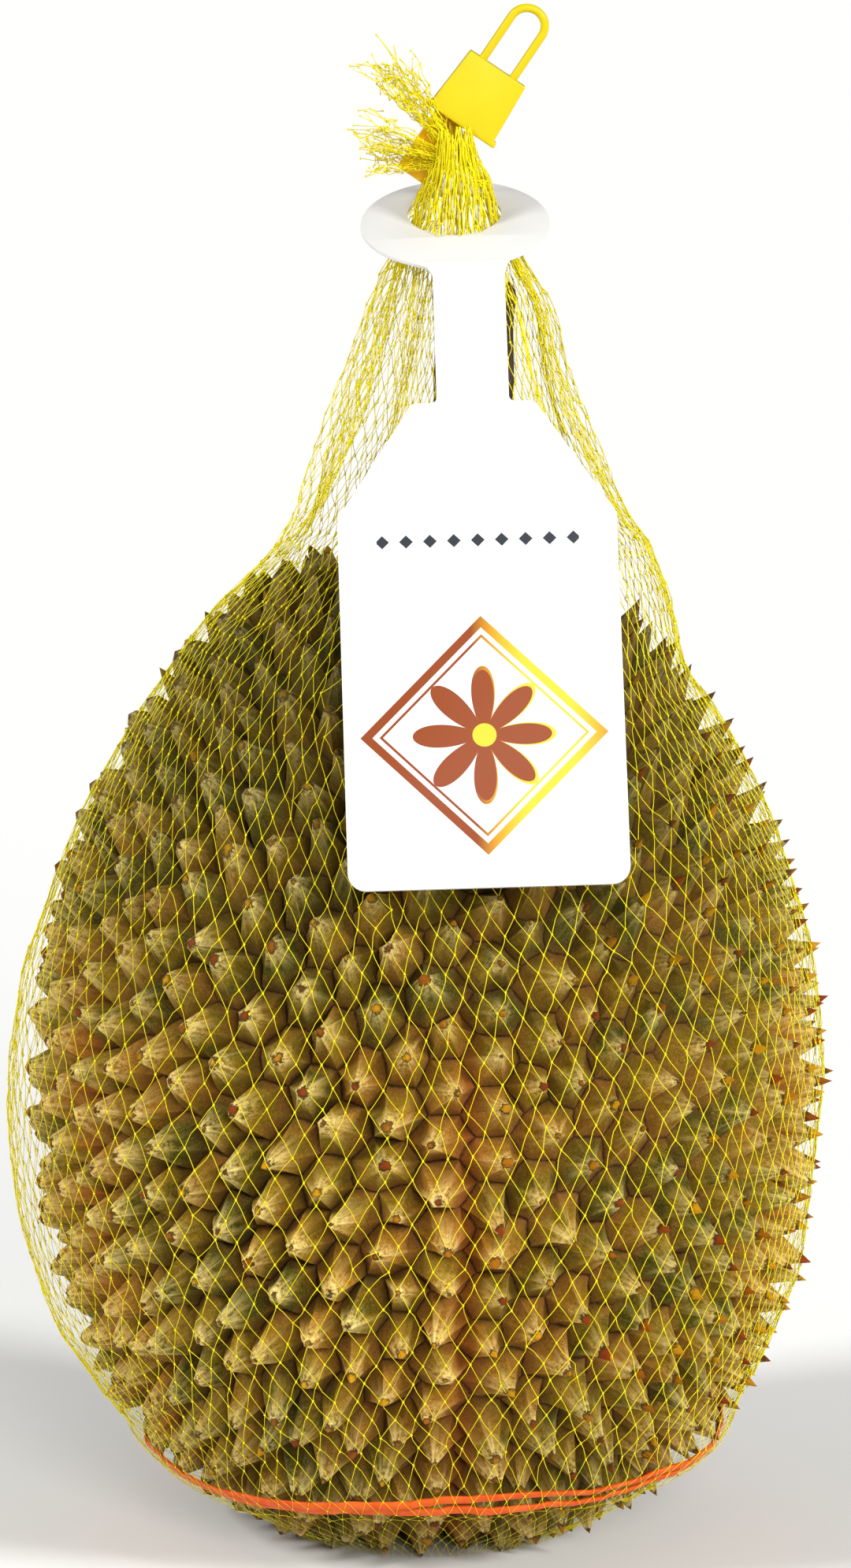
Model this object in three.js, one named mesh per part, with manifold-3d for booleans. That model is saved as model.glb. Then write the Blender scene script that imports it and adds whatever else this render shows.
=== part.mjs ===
// A durian in a net bag, with its stalk, rubber band, swing tag and closing clip.
// Millimetres, +Z up, -Y to the front. The fruit stands on a small flat spot at the origin.
import * as THREE from 'three';
import { ConvexHull } from 'three/addons/math/ConvexHull.js';
import { mergeVertices } from 'three/addons/utils/BufferGeometryUtils.js';
import Module from 'manifold-3d';

const wasm = await Module();
wasm.setup();

// Husk: the outline through the tips of the spines, as radius and height from foot to crown
const TIP_OUTLINE = [
  [0, -3], [20, -2], [30, -0.5], [38, 2.4], [48, 6.6], [60.5, 16], [70.5, 28], [78.5, 41.5],
  [84.2, 57], [88, 74], [90, 92], [90.3, 108], [88.6, 127], [85, 145], [79.3, 161.5],
  [72.3, 176], [64.3, 189.5], [56.5, 202], [47.5, 212], [37, 219], [24, 224.5], [10, 227.6], [0, 228],
];
const SPINE_COUNT = 1000;
const SPINE_HEIGHT = 10.6;
const SPINE_HEIGHT_CROWN = 9;
const SPINE_HEIGHT_FOOT = 6.5;
const SPINE_HEIGHT_SPREAD = 0.11;
const SPINE_UPWARD_LEAN = 0.42;
const SPINE_SIDEWAYS_LEAN = 0.11;
const POLE_SPINE_SCALE = 0.68;
const SPACING_JITTER = 0.55;
const RELAX_STEPS = 7;
const SUTURES = 5;
const FRONT_SUTURE_ANGLE = THREE.MathUtils.degToRad(-84);
const SUTURE_MARGIN = 0.46;
const LOBE_SWELL = 0.012;
const FOOT_SPOT_RADIUS = 12;
const SEED = 20261;

// Stalk, standing in a plain socket in the crown
const STALK_X = 9.8;
const STALK_FOOT_Z = 213;
const STALK_SIDES = 14;
const STALK_RINGS = [
  [213.3, 8.6], [220, 8.9], [227, 9.6], [232, 10.4], [237, 9.7], [248, 9.2], [262, 9.3],
  [273, 9.1], [279, 9.6], [282, 9.4], [283.6, 8.2],
];
const SOCKET_RADIUS = 10;
const SOCKET_SIDES = 20;

// Net bag: coarse diamonds that stand for the fine netting
const NET_COLUMNS = 18;
const NET_KNOT_ROWS = 14;
const NET_OFFSET = 3.25;
const NET_OFFSET_LOW = 5.5;
const NET_OFFSET_LOW_TO_Z = 62;
const NET_THICKNESS = 0.8;
const KNOT_HALF_WIDTH = 0.8;
const KNOT_HALF_HEIGHT = 1.15;
const NET_FOOT_RADIUS = 37.5;
const NET_FOOT_Z = 0.9;
const NET_LEAVES_FRUIT_Z = 205;
const NET_NECK_OUTLINE = [
  [48.7, 214.5], [42, 225], [35.7, 233], [28.6, 248.4], [21.7, 264.7], [19, 277.4], [16, 287.4],
];
const NET_OUTLINE_STEPS = 26;
const NET_FOOT_CLEAR = 8;
const NECK_CENTRE_X = 7.1;
const NECK_SHIFT_FROM_Z = 200;
const NECK_SHIFT_TO_Z = 228;
const LOOSE_BULGE = 3.2;
const LOOSE_BULGE_Z = 92;
const LOOSE_BULGE_REACH = 42;
const NECK_CUT_Z = 284.45;
const TOUCHING_GAP = 0.35;

// Gathered bundle of netting that runs up through the tag's ring to the clip
const BUNDLE_PLEATS = 18;
const PLEAT_DEPTH = 0.09;
const BUNDLE_RINGS = [
  [284.5, 16.6, 0, 7.1], [288.5, 15.9, 0, 6.9], [292.5, 11.6, 0, 6.3], [295.5, 9, 0, 6], [300, 8.8, 0, 6],
  [304.5, 7.6, -1, 6.2], [308.5, 6, -3.1, 6.2], [312.5, 4.6, -4.6, 5.9], [315.1, 4.1, -4.9, 5.6],
];
const TAIL_STRANDS_EACH = 7;
const TAIL_ROOT_SPREAD = 2.2;
const TAIL_STRAND_HALF_WIDTH = 0.5;
const TAIL_STRAND_TAPER = [[0, 1.5], [0.35, 1.1], [0.7, 0.9], [1, 0.7]];
const TAIL_BEND_SHARE = 0.55;
const TAIL_SAG = 3;
const TAIL_RAGGED = 6;
const TAIL_DEPTH = 7;
const TAIL_TUFTS = [
  { root: [4.2, -5, 313.8], tip: [-13.5, -7, 334.5], width: 9 },
  { root: [3.7, -5, 310.5], tip: [-15, -5, 314], width: 8 },
];

// Swing tag, leaning on the front of the fruit, with a ring folded back over the bundle
const TAG_FOOT = new THREE.Vector3(12.9, -83.7, 162.2);
const TAG_HINGE_Y = -24;
const TAG_HINGE_Z = 289.2;
const TAG_TURN = THREE.MathUtils.degToRad(1.8);
const TAG_WIDTH = 60.8;
const TAG_SIDE_HEIGHT = 83.5;
const TAG_SHOULDER_HEIGHT = 109.5;
const TAG_SHOULDER_WIDTH = 28.8;
const TAG_NECK_WIDTH = 15.8;
const TAG_CORNER = 4;
const TAG_SHOULDER_ROUND = 2;
const TAG_THICKNESS = 0.8;
const RING_RADIUS = 20.9;
const RING_HOLE_RADIUS = 10.4;
const RING_HOLE_SHIFT = 4.6;
const RING_SIDE_SHIFT = -2.4;
const RING_OVERLAP = 0.6;
const HINGE_LENGTH = 5;
const HINGE_SHIFT = 2.2;
const HINGE_BITE = 0.3;
const RING_SLOPE = THREE.MathUtils.degToRad(21);
const RING_SEGMENTS = 40;

// Clip, a flat padlock shape with a hanging loop, and the strap plate behind the bundle
const CLIP_CENTRE = new THREE.Vector3(10.9, -1.5, 324.9);
const CLIP_TILT = THREE.MathUtils.degToRad(34);
const CLIP_TOP_WIDTH = 14.6;
const CLIP_FOOT_WIDTH = 16.4;
const CLIP_HEIGHT = 15.2;
const CLIP_THICKNESS = 4.6;
const CLIP_CORNER = 0.8;
const CLIP_LIP = 0.8;
const CLIP_LIP_HEIGHT = 1.3;
const LOOP_BAR_RADIUS = 0.95;
const LOOP_SPACING = 8;
const LOOP_LENGTH = 16.2;
const LOOP_BITE = 1;
const LOOP_STEPS = 22;
const PLATE_WIDTH = 7.2;
const PLATE_LENGTH = 20;
const PLATE_THICKNESS = 1.6;
const PLATE_ROUND = 1.2;
const PLATE_SHIFT = -2.6;
const PLATE_DROP = -13.2;

// Rubber band of two strands side by side, lying on the spine tips under the net
const BAND_Z = 19;
const BAND_RADIUS = 61;
const BAND_TILT = THREE.MathUtils.degToRad(2.4);
const BAND_STRAND_WIDTH = 2.6;
const BAND_GROOVE = 0.35;
const BAND_THICKNESS = 0.9;
const BAND_EDGE_ROUND = 0.3;
const BAND_GROOVE_SHARE = 0.45;
const BAND_EDGE_SHARE = 0.8;
const BAND_CLEARANCE = 0.85;
const BAND_STEPS = 40;

const FINISHES = {
  husk: { color: 0x83713a, roughness: 0.85, metalness: 0 },
  stalk: { color: 0x3e2a20, roughness: 0.9, metalness: 0 },
  net: { color: 0xe6d800, roughness: 0.45, metalness: 0 },
  band: { color: 0xf26a2e, roughness: 0.6, metalness: 0 },
  tag: { color: 0xf7f7f5, roughness: 0.4, metalness: 0 },
  clip: { color: 0xf5de00, roughness: 0.3, metalness: 0 },
};

const lerp = THREE.MathUtils.lerp;
const smoothstep = THREE.MathUtils.smoothstep;

// A seeded source of random numbers between 0 and 1
function randomSource(seed) {
  let state = seed;
  return () => {
    state = (state + 0x6d2b79f5) | 0;
    let mixed = Math.imul(state ^ (state >>> 15), 1 | state);
    mixed = (mixed + Math.imul(mixed ^ (mixed >>> 7), 61 | mixed)) ^ mixed;
    return ((mixed ^ (mixed >>> 14)) >>> 0) / 4294967296;
  };
}

// Geometry from a list of points and a list of triangles
function meshGeometry(points, triangles) {
  const geometry = new THREE.BufferGeometry();
  const numbers = points.flatMap((point) => point.toArray());
  geometry.setAttribute('position', new THREE.Float32BufferAttribute(numbers, 3));
  geometry.setIndex(triangles.flat());
  return geometry;
}

function toSolid(geometry) {
  const bare = geometry.clone();
  bare.deleteAttribute('normal');
  bare.deleteAttribute('uv');
  const merged = mergeVertices(bare, 1e-3);
  const vertProperties = new Float32Array(merged.getAttribute('position').array);
  const triVerts = new Uint32Array(merged.getIndex().array);
  return new wasm.Manifold(new wasm.Mesh({ numProp: 3, vertProperties, triVerts }));
}

function toGeometry(solid) {
  const mesh = solid.getMesh();
  const geometry = new THREE.BufferGeometry();
  geometry.setAttribute('position', new THREE.BufferAttribute(new Float32Array(mesh.vertProperties), 3));
  geometry.setIndex(new THREE.BufferAttribute(new Uint32Array(mesh.triVerts), 1));
  return geometry;
}

// A box from one corner to another, used to cut a solid at a level
function boxBetween(low, high) {
  const geometry = new THREE.BoxGeometry(high.x - low.x, high.y - low.y, high.z - low.z);
  geometry.translate((low.x + high.x) / 2, (low.y + high.y) / 2, (low.z + high.z) / 2);
  return toSolid(geometry);
}

function boxAbove(level) {
  return boxBetween(new THREE.Vector3(-200, -200, level), new THREE.Vector3(200, 200, level + 500));
}

function boxBelow(level) {
  return boxBetween(new THREE.Vector3(-200, -200, level - 500), new THREE.Vector3(200, 200, level));
}

// An upright cylinder between two heights
function uprightCylinder(x, radius, low, high, sides) {
  const geometry = new THREE.CylinderGeometry(radius, radius, high - low, sides);
  geometry.rotateX(Math.PI / 2);
  geometry.translate(x, 0, (low + high) / 2);
  return toSolid(geometry);
}

// A closed skin through rings of equally many points, anticlockwise seen from the far end
function loft(rings, closed = false) {
  const sides = rings[0].length;
  const points = rings.flat();
  const triangles = [];
  const spans = closed ? rings.length : rings.length - 1;
  for (let ring = 0; ring < spans; ring += 1) {
    const low = ring * sides;
    const high = ((ring + 1) % rings.length) * sides;
    for (let side = 0; side < sides; side += 1) {
      const next = (side + 1) % sides;
      triangles.push([low + side, low + next, high + next], [low + side, high + next, high + side]);
    }
  }
  if (!closed) {
    const last = (rings.length - 1) * sides;
    for (const [start, forward] of [[0, false], [last, true]]) {
      const centre = new THREE.Vector3();
      for (let side = 0; side < sides; side += 1) {
        centre.add(points[start + side]);
      }
      points.push(centre.divideScalar(sides));
      for (let side = 0; side < sides; side += 1) {
        const next = (side + 1) % sides;
        const edge = forward ? [start + side, start + next] : [start + next, start + side];
        triangles.push([...edge, points.length - 1]);
      }
    }
  }
  return meshGeometry(points, triangles);
}

const tipCurve = new THREE.SplineCurve(TIP_OUTLINE.map(([r, z]) => new THREE.Vector2(r, z)));
tipCurve.arcLengthDivisions = 800;
const tipCurveLength = tipCurve.getLength();

function spineHeight(t) {
  const fromFoot = lerp(SPINE_HEIGHT_FOOT, SPINE_HEIGHT, smoothstep(t, 0.02, 0.3));
  return lerp(fromFoot, SPINE_HEIGHT_CROWN, smoothstep(t, 0.7, 0.98));
}

// The husk's profile at share t of the way up: tip point, outward normal and upward tangent
function profileAt(t) {
  const share = THREE.MathUtils.clamp(t, 0, 1);
  const point = tipCurve.getPointAt(share);
  const tangent = tipCurve.getTangentAt(share);
  return { point, tangent, normal: new THREE.Vector2(tangent.y, -tangent.x) };
}

function lobe(angle) {
  return 1 - LOBE_SWELL * Math.cos(SUTURES * (angle - FRONT_SUTURE_ANGLE));
}

// A point of the husk, inset from the tips by some depth
function huskPoint(t, angle, inset) {
  const { point, normal } = profileAt(t);
  const radius = Math.max(0, point.x - normal.x * inset) * lobe(angle);
  return new THREE.Vector3(radius * Math.cos(angle), radius * Math.sin(angle), point.y - normal.y * inset);
}

// Spines are smaller towards the crown and the foot
function sizeAt(t) {
  return lerp(POLE_SPINE_SCALE, 1, Math.sin(Math.PI * THREE.MathUtils.clamp(t, 0, 1)) ** 0.8);
}

// Evenly spread sites on a golden spiral, with room for larger spines round the middle
function scatterSites(random) {
  const steps = 400;
  const totals = [0];
  for (let step = 0; step < steps; step += 1) {
    const t = (step + 0.5) / steps;
    const radius = Math.max(0.1, profileAt(t).point.x - spineHeight(t));
    totals.push(totals[step] + radius / sizeAt(t) ** 2);
  }
  const goldenAngle = Math.PI * (3 - Math.sqrt(5));
  const sites = [];
  let step = 0;
  for (let index = 0; index < SPINE_COUNT; index += 1) {
    const wanted = ((index + 0.5) / SPINE_COUNT) * totals[steps];
    while (totals[step + 1] < wanted) {
      step += 1;
    }
    const t = (step + (wanted - totals[step]) / (totals[step + 1] - totals[step])) / steps;
    sites.push({ t, angle: index * goldenAngle });
  }
  const area = (2 * Math.PI * tipCurveLength * totals[steps]) / steps;
  const spacing = 1.07 * Math.sqrt(area / SPINE_COUNT);
  for (const site of sites) {
    nudge(site, (random() - 0.5) * SPACING_JITTER * spacing, (random() - 0.5) * SPACING_JITTER * spacing);
  }
  return { sites, spacing };
}

// Moves a site by millimetres along its meridian and round its parallel
function nudge(site, upward, eastward) {
  const radius = Math.max(4, profileAt(site.t).point.x - spineHeight(site.t));
  site.t = THREE.MathUtils.clamp(site.t + upward / tipCurveLength, 0.004, 0.996);
  site.angle += THREE.MathUtils.clamp(eastward / radius, -0.5, 0.5);
}

// Keeps sites off the seams between the fruit's segments, so that a valley runs along each seam
function clearOfSutures(site, spacing) {
  const pitch = (2 * Math.PI) / SUTURES;
  const turns = (site.angle - FRONT_SUTURE_ANGLE) / pitch;
  const offset = (turns - Math.round(turns)) * pitch;
  const radius = Math.max(1, profileAt(site.t).point.x - spineHeight(site.t));
  const margin = SUTURE_MARGIN * spacing * sizeAt(site.t);
  const distance = offset * radius;
  if (Math.abs(distance) < margin && site.t > 0.06 && site.t < 0.94) {
    site.angle += ((distance < 0 ? -margin : margin) - distance) / radius;
  }
}

// Pushes close sites apart until the spines are packed like a real husk's
function relaxSites(sites, spacing) {
  for (let step = 0; step < RELAX_STEPS; step += 1) {
    const places = sites.map((site) => huskPoint(site.t, site.angle, spineHeight(site.t)));
    const pushes = sites.map(() => new THREE.Vector3());
    for (let a = 0; a < sites.length; a += 1) {
      const reach = 1.25 * spacing * sizeAt(sites[a].t);
      for (let b = 0; b < sites.length; b += 1) {
        const apart = places[a].distanceTo(places[b]);
        if (a !== b && apart < reach) {
          const push = places[a].clone().sub(places[b]);
          pushes[a].addScaledVector(push, (0.3 * (reach - apart)) / Math.max(apart, 0.01));
        }
      }
    }
    sites.forEach((site, index) => {
      const { tangent } = profileAt(site.t);
      const east = new THREE.Vector3(-Math.sin(site.angle), Math.cos(site.angle), 0);
      const outward = new THREE.Vector3(Math.cos(site.angle), Math.sin(site.angle), 0);
      const upward = outward.multiplyScalar(tangent.x).setZ(tangent.y);
      nudge(site, pushes[index].dot(upward), pushes[index].dot(east));
      clearOfSutures(site, spacing);
    });
  }
}

function onUnitSphere(t, angle) {
  const polar = Math.PI * (1 - t);
  const reach = Math.sin(polar);
  return new THREE.Vector3(reach * Math.cos(angle), reach * Math.sin(angle), Math.cos(polar));
}

// The tip of the spine at a site, leaning up towards the stalk and a little to one side
function spineTip(site, random) {
  const height = spineHeight(site.t) * (1 + SPINE_HEIGHT_SPREAD * (2 * random() - 1));
  const root = huskPoint(site.t, site.angle, spineHeight(site.t));
  const { normal, tangent } = profileAt(site.t);
  const outward = new THREE.Vector3(Math.cos(site.angle), Math.sin(site.angle), 0);
  const east = new THREE.Vector3(-outward.y, outward.x, 0);
  const direction = outward.clone().multiplyScalar(normal.x).setZ(normal.y);
  const upward = SPINE_UPWARD_LEAN * smoothstep(site.t, 0.35, 0.85);
  const lean = upward + SPINE_SIDEWAYS_LEAN * (2 * random() - 1);
  direction.addScaledVector(outward, lean * tangent.x);
  direction.z += lean * tangent.y;
  direction.addScaledVector(east, SPINE_SIDEWAYS_LEAN * (2 * random() - 1));
  return root.addScaledVector(direction.normalize(), height);
}

// The husk: one cell for each spine, whose corners lie in the valleys between it and its neighbours
function buildHusk() {
  const random = randomSource(SEED);
  const { sites, spacing } = scatterSites(random);
  relaxSites(sites, spacing);
  const spherePoints = sites.map((site) => onUnitSphere(site.t, site.angle));
  const siteOf = new Map(spherePoints.map((point, index) => [point, index]));
  const hull = new ConvexHull().setFromPoints(spherePoints);
  const points = sites.map((site) => spineTip(site, random));
  const triangles = [];
  const cornerOf = new Map();
  for (const face of hull.faces) {
    const centre = new THREE.Vector3();
    let edge = face.edge;
    do {
      centre.add(edge.head().point);
      edge = edge.next;
    } while (edge !== face.edge);
    centre.normalize();
    const t = 1 - Math.acos(THREE.MathUtils.clamp(centre.z, -1, 1)) / Math.PI;
    cornerOf.set(face, points.length);
    points.push(huskPoint(t, Math.atan2(centre.y, centre.x), spineHeight(t)));
  }
  for (const face of hull.faces) {
    let edge = face.edge;
    do {
      const site = siteOf.get(edge.head().point);
      triangles.push([site, cornerOf.get(edge.next.twin.face), cornerOf.get(face)]);
      edge = edge.next;
    } while (edge !== face.edge);
  }
  const spot = uprightCylinder(0, FOOT_SPOT_RADIUS, -1, SPINE_HEIGHT_FOOT + 1, 24);
  const socket = uprightCylinder(STALK_X, SOCKET_RADIUS, STALK_FOOT_Z, STALK_FOOT_Z + 40, SOCKET_SIDES);
  const spines = toSolid(meshGeometry(points, triangles));
  return toGeometry(spines.add(spot).subtract(boxBelow(0)).subtract(socket));
}

// The stalk: a woody stub with a swollen joint and an uneven, slightly lobed section
function buildStalk() {
  const rings = STALK_RINGS.map(([z, radius]) => {
    const ring = [];
    for (let side = 0; side < STALK_SIDES; side += 1) {
      const angle = (side / STALK_SIDES) * 2 * Math.PI;
      const uneven = radius * (1 - 0.025 * (1 + Math.sin(3 * angle + z / 9)));
      ring.push(new THREE.Vector3(STALK_X + uneven * Math.cos(angle), uneven * Math.sin(angle), z));
    }
    return ring;
  });
  return loft(rings);
}

// The net's outline: off the spine tips over the fruit, then gathered in to the neck
function netOutline() {
  const outline = [new THREE.Vector2(NET_FOOT_RADIUS, NET_FOOT_Z)];
  for (let step = 1; step < NET_OUTLINE_STEPS; step += 1) {
    const { point, normal } = profileAt(step / NET_OUTLINE_STEPS);
    const clearance = lerp(NET_OFFSET_LOW, NET_OFFSET, smoothstep(point.y, 0, NET_OFFSET_LOW_TO_Z));
    const offset = point.clone().addScaledVector(normal, clearance);
    const clearOfFoot = offset.x > NET_FOOT_RADIUS + NET_FOOT_CLEAR && offset.y > NET_FOOT_Z;
    if (clearOfFoot && offset.y < NET_LEAVES_FRUIT_Z) {
      outline.push(offset);
    }
  }
  return [...outline, ...NET_NECK_OUTLINE.map(([r, z]) => new THREE.Vector2(r, z))];
}

const netCurve = new THREE.SplineCurve(netOutline());
netCurve.arcLengthDivisions = 400;
const netCurveLength = netCurve.getLength();

// A point of the net at share s of the way up, off its middle surface by some depth
function netPoint(s, angle, depth) {
  const share = THREE.MathUtils.clamp(s, 0, 1);
  const point = netCurve.getPointAt(share);
  const tangent = netCurve.getTangentAt(share);
  const slack = Math.max(0, -Math.cos(angle)) ** 1.5;
  const bulge = LOOSE_BULGE * slack * Math.exp(-(((point.y - LOOSE_BULGE_Z) / LOOSE_BULGE_REACH) ** 2));
  const radius = point.x + bulge + tangent.y * depth;
  const centre = NECK_CENTRE_X * smoothstep(point.y, NECK_SHIFT_FROM_Z, NECK_SHIFT_TO_Z);
  const height = point.y - tangent.x * depth;
  return new THREE.Vector3(centre + radius * Math.cos(angle), radius * Math.sin(angle), height);
}

// Diamond netting: a small quad for each knot and a quad for each strand, thickened both ways
function netLattice() {
  const sheet = [];
  const triangles = [];
  const rows = NET_KNOT_ROWS;
  const rise = KNOT_HALF_HEIGHT / netCurveLength;
  for (let row = 0; row < rows; row += 1) {
    const s = lerp(rise, 1 - rise, row / (rows - 1));
    const radius = netCurve.getPointAt(s).x;
    for (let column = 0; column < NET_COLUMNS; column += 1) {
      const angle = ((column + (row % 2) / 2) / NET_COLUMNS) * 2 * Math.PI;
      const across = KNOT_HALF_WIDTH / radius;
      sheet.push([s, angle + across], [s + rise, angle], [s, angle - across], [s - rise, angle]);
    }
  }
  const corner = (row, column, which) => {
    const around = (column + NET_COLUMNS) % NET_COLUMNS;
    return (row * NET_COLUMNS + around) * 4 + which;
  };
  const [east, top, west, foot] = [0, 1, 2, 3];
  const addQuad = (a, b, c, d) => triangles.push([a, b, c], [a, c, d]);
  for (let row = 0; row < rows; row += 1) {
    for (let column = 0; column < NET_COLUMNS; column += 1) {
      const at = (which) => corner(row, column, which);
      addQuad(at(east), at(top), at(west), at(foot));
      if (row + 1 < rows) {
        const eastUp = column + (row % 2);
        const upEast = (which) => corner(row + 1, eastUp, which);
        const upWest = (which) => corner(row + 1, eastUp - 1, which);
        addQuad(at(east), upEast(foot), upEast(west), at(top));
        addQuad(at(top), upWest(east), upWest(foot), at(west));
      }
    }
  }
  const outer = sheet.map(([s, angle]) => netPoint(s, angle, NET_THICKNESS / 2));
  const inner = sheet.map(([s, angle]) => netPoint(s, angle, -NET_THICKNESS / 2));
  return toSolid(meshGeometry([...outer, ...inner], thicken(triangles, sheet.length)));
}

// Both faces of a sheet and the walls along its open edges
function thicken(triangles, count) {
  const edges = new Set(triangles.flatMap(([a, b, c]) => [`${a} ${b}`, `${b} ${c}`, `${c} ${a}`]));
  const back = triangles.map(([a, b, c]) => [c + count, b + count, a + count]);
  const walls = [];
  for (const edge of edges) {
    const [a, b] = edge.split(' ').map(Number);
    if (!edges.has(`${b} ${a}`)) {
      walls.push([b, a, a + count], [b, a + count, b + count]);
    }
  }
  return [...triangles, ...back, ...walls];
}

// The pleated bundle of gathered netting
function bundleSolid() {
  const rings = BUNDLE_RINGS.map(([z, radius, y, x]) => {
    const ring = [];
    for (let point = 0; point < 2 * BUNDLE_PLEATS; point += 1) {
      const angle = (point / (2 * BUNDLE_PLEATS)) * 2 * Math.PI;
      const pleated = radius * (1 - PLEAT_DEPTH * ((point + 1) % 2));
      ring.push(new THREE.Vector3(x + pleated * Math.cos(angle), y + pleated * Math.sin(angle), z));
    }
    return ring;
  });
  return toSolid(loft(rings));
}

// One frayed strand of the tail: a four-sided spike along a bent line
function tailStrand(root, tip, sag) {
  const middle = root.clone().lerp(tip, TAIL_BEND_SHARE);
  middle.z += sag;
  const curve = new THREE.QuadraticBezierCurve3(root, middle, tip);
  const rings = [];
  for (const [share, scale] of TAIL_STRAND_TAPER) {
    const centre = curve.getPointAt(share);
    const along = curve.getTangentAt(share);
    const side = new THREE.Vector3(0, 1, 0).cross(along).normalize();
    const over = along.clone().cross(side).normalize();
    const ring = [];
    for (let corner = 0; corner < 4; corner += 1) {
      const angle = (corner / 4) * 2 * Math.PI;
      const out = side.clone().multiplyScalar(Math.cos(angle)).addScaledVector(over, Math.sin(angle));
      ring.push(centre.clone().addScaledVector(out, TAIL_STRAND_HALF_WIDTH * scale));
    }
    rings.push(ring);
  }
  return toSolid(loft(rings));
}

function tailSolid(random) {
  const strands = [];
  for (const tuft of TAIL_TUFTS) {
    const root = new THREE.Vector3(...tuft.root);
    const tip = new THREE.Vector3(...tuft.tip);
    const along = tip.clone().sub(root).normalize();
    const across = new THREE.Vector3(0, 1, 0).cross(along).normalize();
    for (let strand = 0; strand < TAIL_STRANDS_EACH; strand += 1) {
      const spread = (strand + 0.5) / TAIL_STRANDS_EACH - 0.5;
      const depth = random() - 0.5;
      const from = root.clone().addScaledVector(across, spread * TAIL_ROOT_SPREAD);
      const to = tip.clone().addScaledVector(across, spread * tuft.width);
      to.addScaledVector(along, -TAIL_RAGGED * random());
      to.y += TAIL_DEPTH * depth;
      strands.push(tailStrand(from, to, TAIL_SAG * (random() - 0.5)));
    }
  }
  return wasm.Manifold.union(strands);
}

// The tag in its own plane, x across, y up from its lower edge, and its back on z = 0
function tagPlateShape(height) {
  const half = TAG_WIDTH / 2;
  const shoulder = TAG_SHOULDER_WIDTH / 2;
  const neck = TAG_NECK_WIDTH / 2;
  const round = TAG_SHOULDER_ROUND;
  const shape = new THREE.Shape();
  shape.moveTo(-half + TAG_CORNER, 0);
  shape.lineTo(half - TAG_CORNER, 0);
  shape.absarc(half - TAG_CORNER, TAG_CORNER, TAG_CORNER, -Math.PI / 2, 0, false);
  shape.lineTo(half, TAG_SIDE_HEIGHT);
  shape.lineTo(shoulder + round / 2, TAG_SHOULDER_HEIGHT - round);
  shape.quadraticCurveTo(shoulder, TAG_SHOULDER_HEIGHT, shoulder - round, TAG_SHOULDER_HEIGHT);
  shape.lineTo(neck, TAG_SHOULDER_HEIGHT);
  shape.lineTo(neck, height);
  shape.lineTo(-neck, height);
  shape.lineTo(-neck, TAG_SHOULDER_HEIGHT);
  shape.lineTo(-shoulder + round, TAG_SHOULDER_HEIGHT);
  shape.quadraticCurveTo(
    -shoulder, TAG_SHOULDER_HEIGHT, -shoulder - round / 2, TAG_SHOULDER_HEIGHT - round,
  );
  shape.lineTo(-half, TAG_SIDE_HEIGHT);
  shape.lineTo(-half, TAG_CORNER);
  shape.absarc(-half + TAG_CORNER, TAG_CORNER, TAG_CORNER, Math.PI, 1.5 * Math.PI, false);
  return shape;
}

const tagRun = new THREE.Vector2(TAG_HINGE_Y - TAG_FOOT.y, TAG_HINGE_Z - TAG_FOOT.z);
const tagLength = tagRun.length();
const tagPitch = Math.atan2(tagRun.y, tagRun.x);

// The ring, folded back from the neck by the angle between the tag's slope and its own
function buildTag() {
  const plate = new THREE.ExtrudeGeometry(tagPlateShape(tagLength + HINGE_BITE), {
    depth: TAG_THICKNESS, bevelEnabled: false, curveSegments: 6,
  });
  const ring = new THREE.Shape();
  const ringY = RING_RADIUS - RING_OVERLAP;
  ring.absarc(0, ringY, RING_RADIUS, 0, 2 * Math.PI, false);
  const hole = new THREE.Path();
  hole.absarc(0, ringY + RING_HOLE_SHIFT, RING_HOLE_RADIUS, 0, 2 * Math.PI, true);
  ring.holes.push(hole);
  const bridge = new THREE.BoxGeometry(TAG_NECK_WIDTH, HINGE_LENGTH, TAG_THICKNESS);
  bridge.translate(0, HINGE_SHIFT, TAG_THICKNESS / 2);
  const ringSheet = new THREE.ExtrudeGeometry(ring, {
    depth: TAG_THICKNESS, bevelEnabled: false, curveSegments: RING_SEGMENTS / 2,
  });
  for (const sheet of [bridge, ringSheet]) {
    sheet.rotateX(RING_SLOPE - tagPitch);
    sheet.translate(0, tagLength, 0);
  }
  ringSheet.translate(RING_SIDE_SHIFT, 0, 0);
  return toGeometry(toSolid(plate).add(toSolid(bridge)).add(toSolid(ringSheet)));
}

// The clip's body in its own plane, x across and z up, centred on its own middle
function clipBodySolid() {
  const top = CLIP_TOP_WIDTH / 2;
  const foot = CLIP_FOOT_WIDTH / 2;
  const low = -CLIP_HEIGHT / 2;
  const high = CLIP_HEIGHT / 2;
  const shape = new THREE.Shape();
  shape.moveTo(-foot - CLIP_LIP, low);
  shape.lineTo(foot + CLIP_LIP, low);
  shape.lineTo(foot + CLIP_LIP, low + CLIP_LIP_HEIGHT);
  shape.lineTo(foot, low + CLIP_LIP_HEIGHT);
  shape.lineTo(top, high - CLIP_CORNER);
  shape.quadraticCurveTo(top, high, top - CLIP_CORNER, high);
  shape.lineTo(-top + CLIP_CORNER, high);
  shape.quadraticCurveTo(-top, high, -top, high - CLIP_CORNER);
  shape.lineTo(-foot, low + CLIP_LIP_HEIGHT);
  shape.lineTo(-foot - CLIP_LIP, low + CLIP_LIP_HEIGHT);
  const body = new THREE.ExtrudeGeometry(shape, {
    depth: CLIP_THICKNESS, bevelEnabled: false, curveSegments: 3,
  });
  body.translate(0, 0, -CLIP_THICKNESS / 2);
  body.rotateX(Math.PI / 2);
  return toSolid(body);
}

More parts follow.
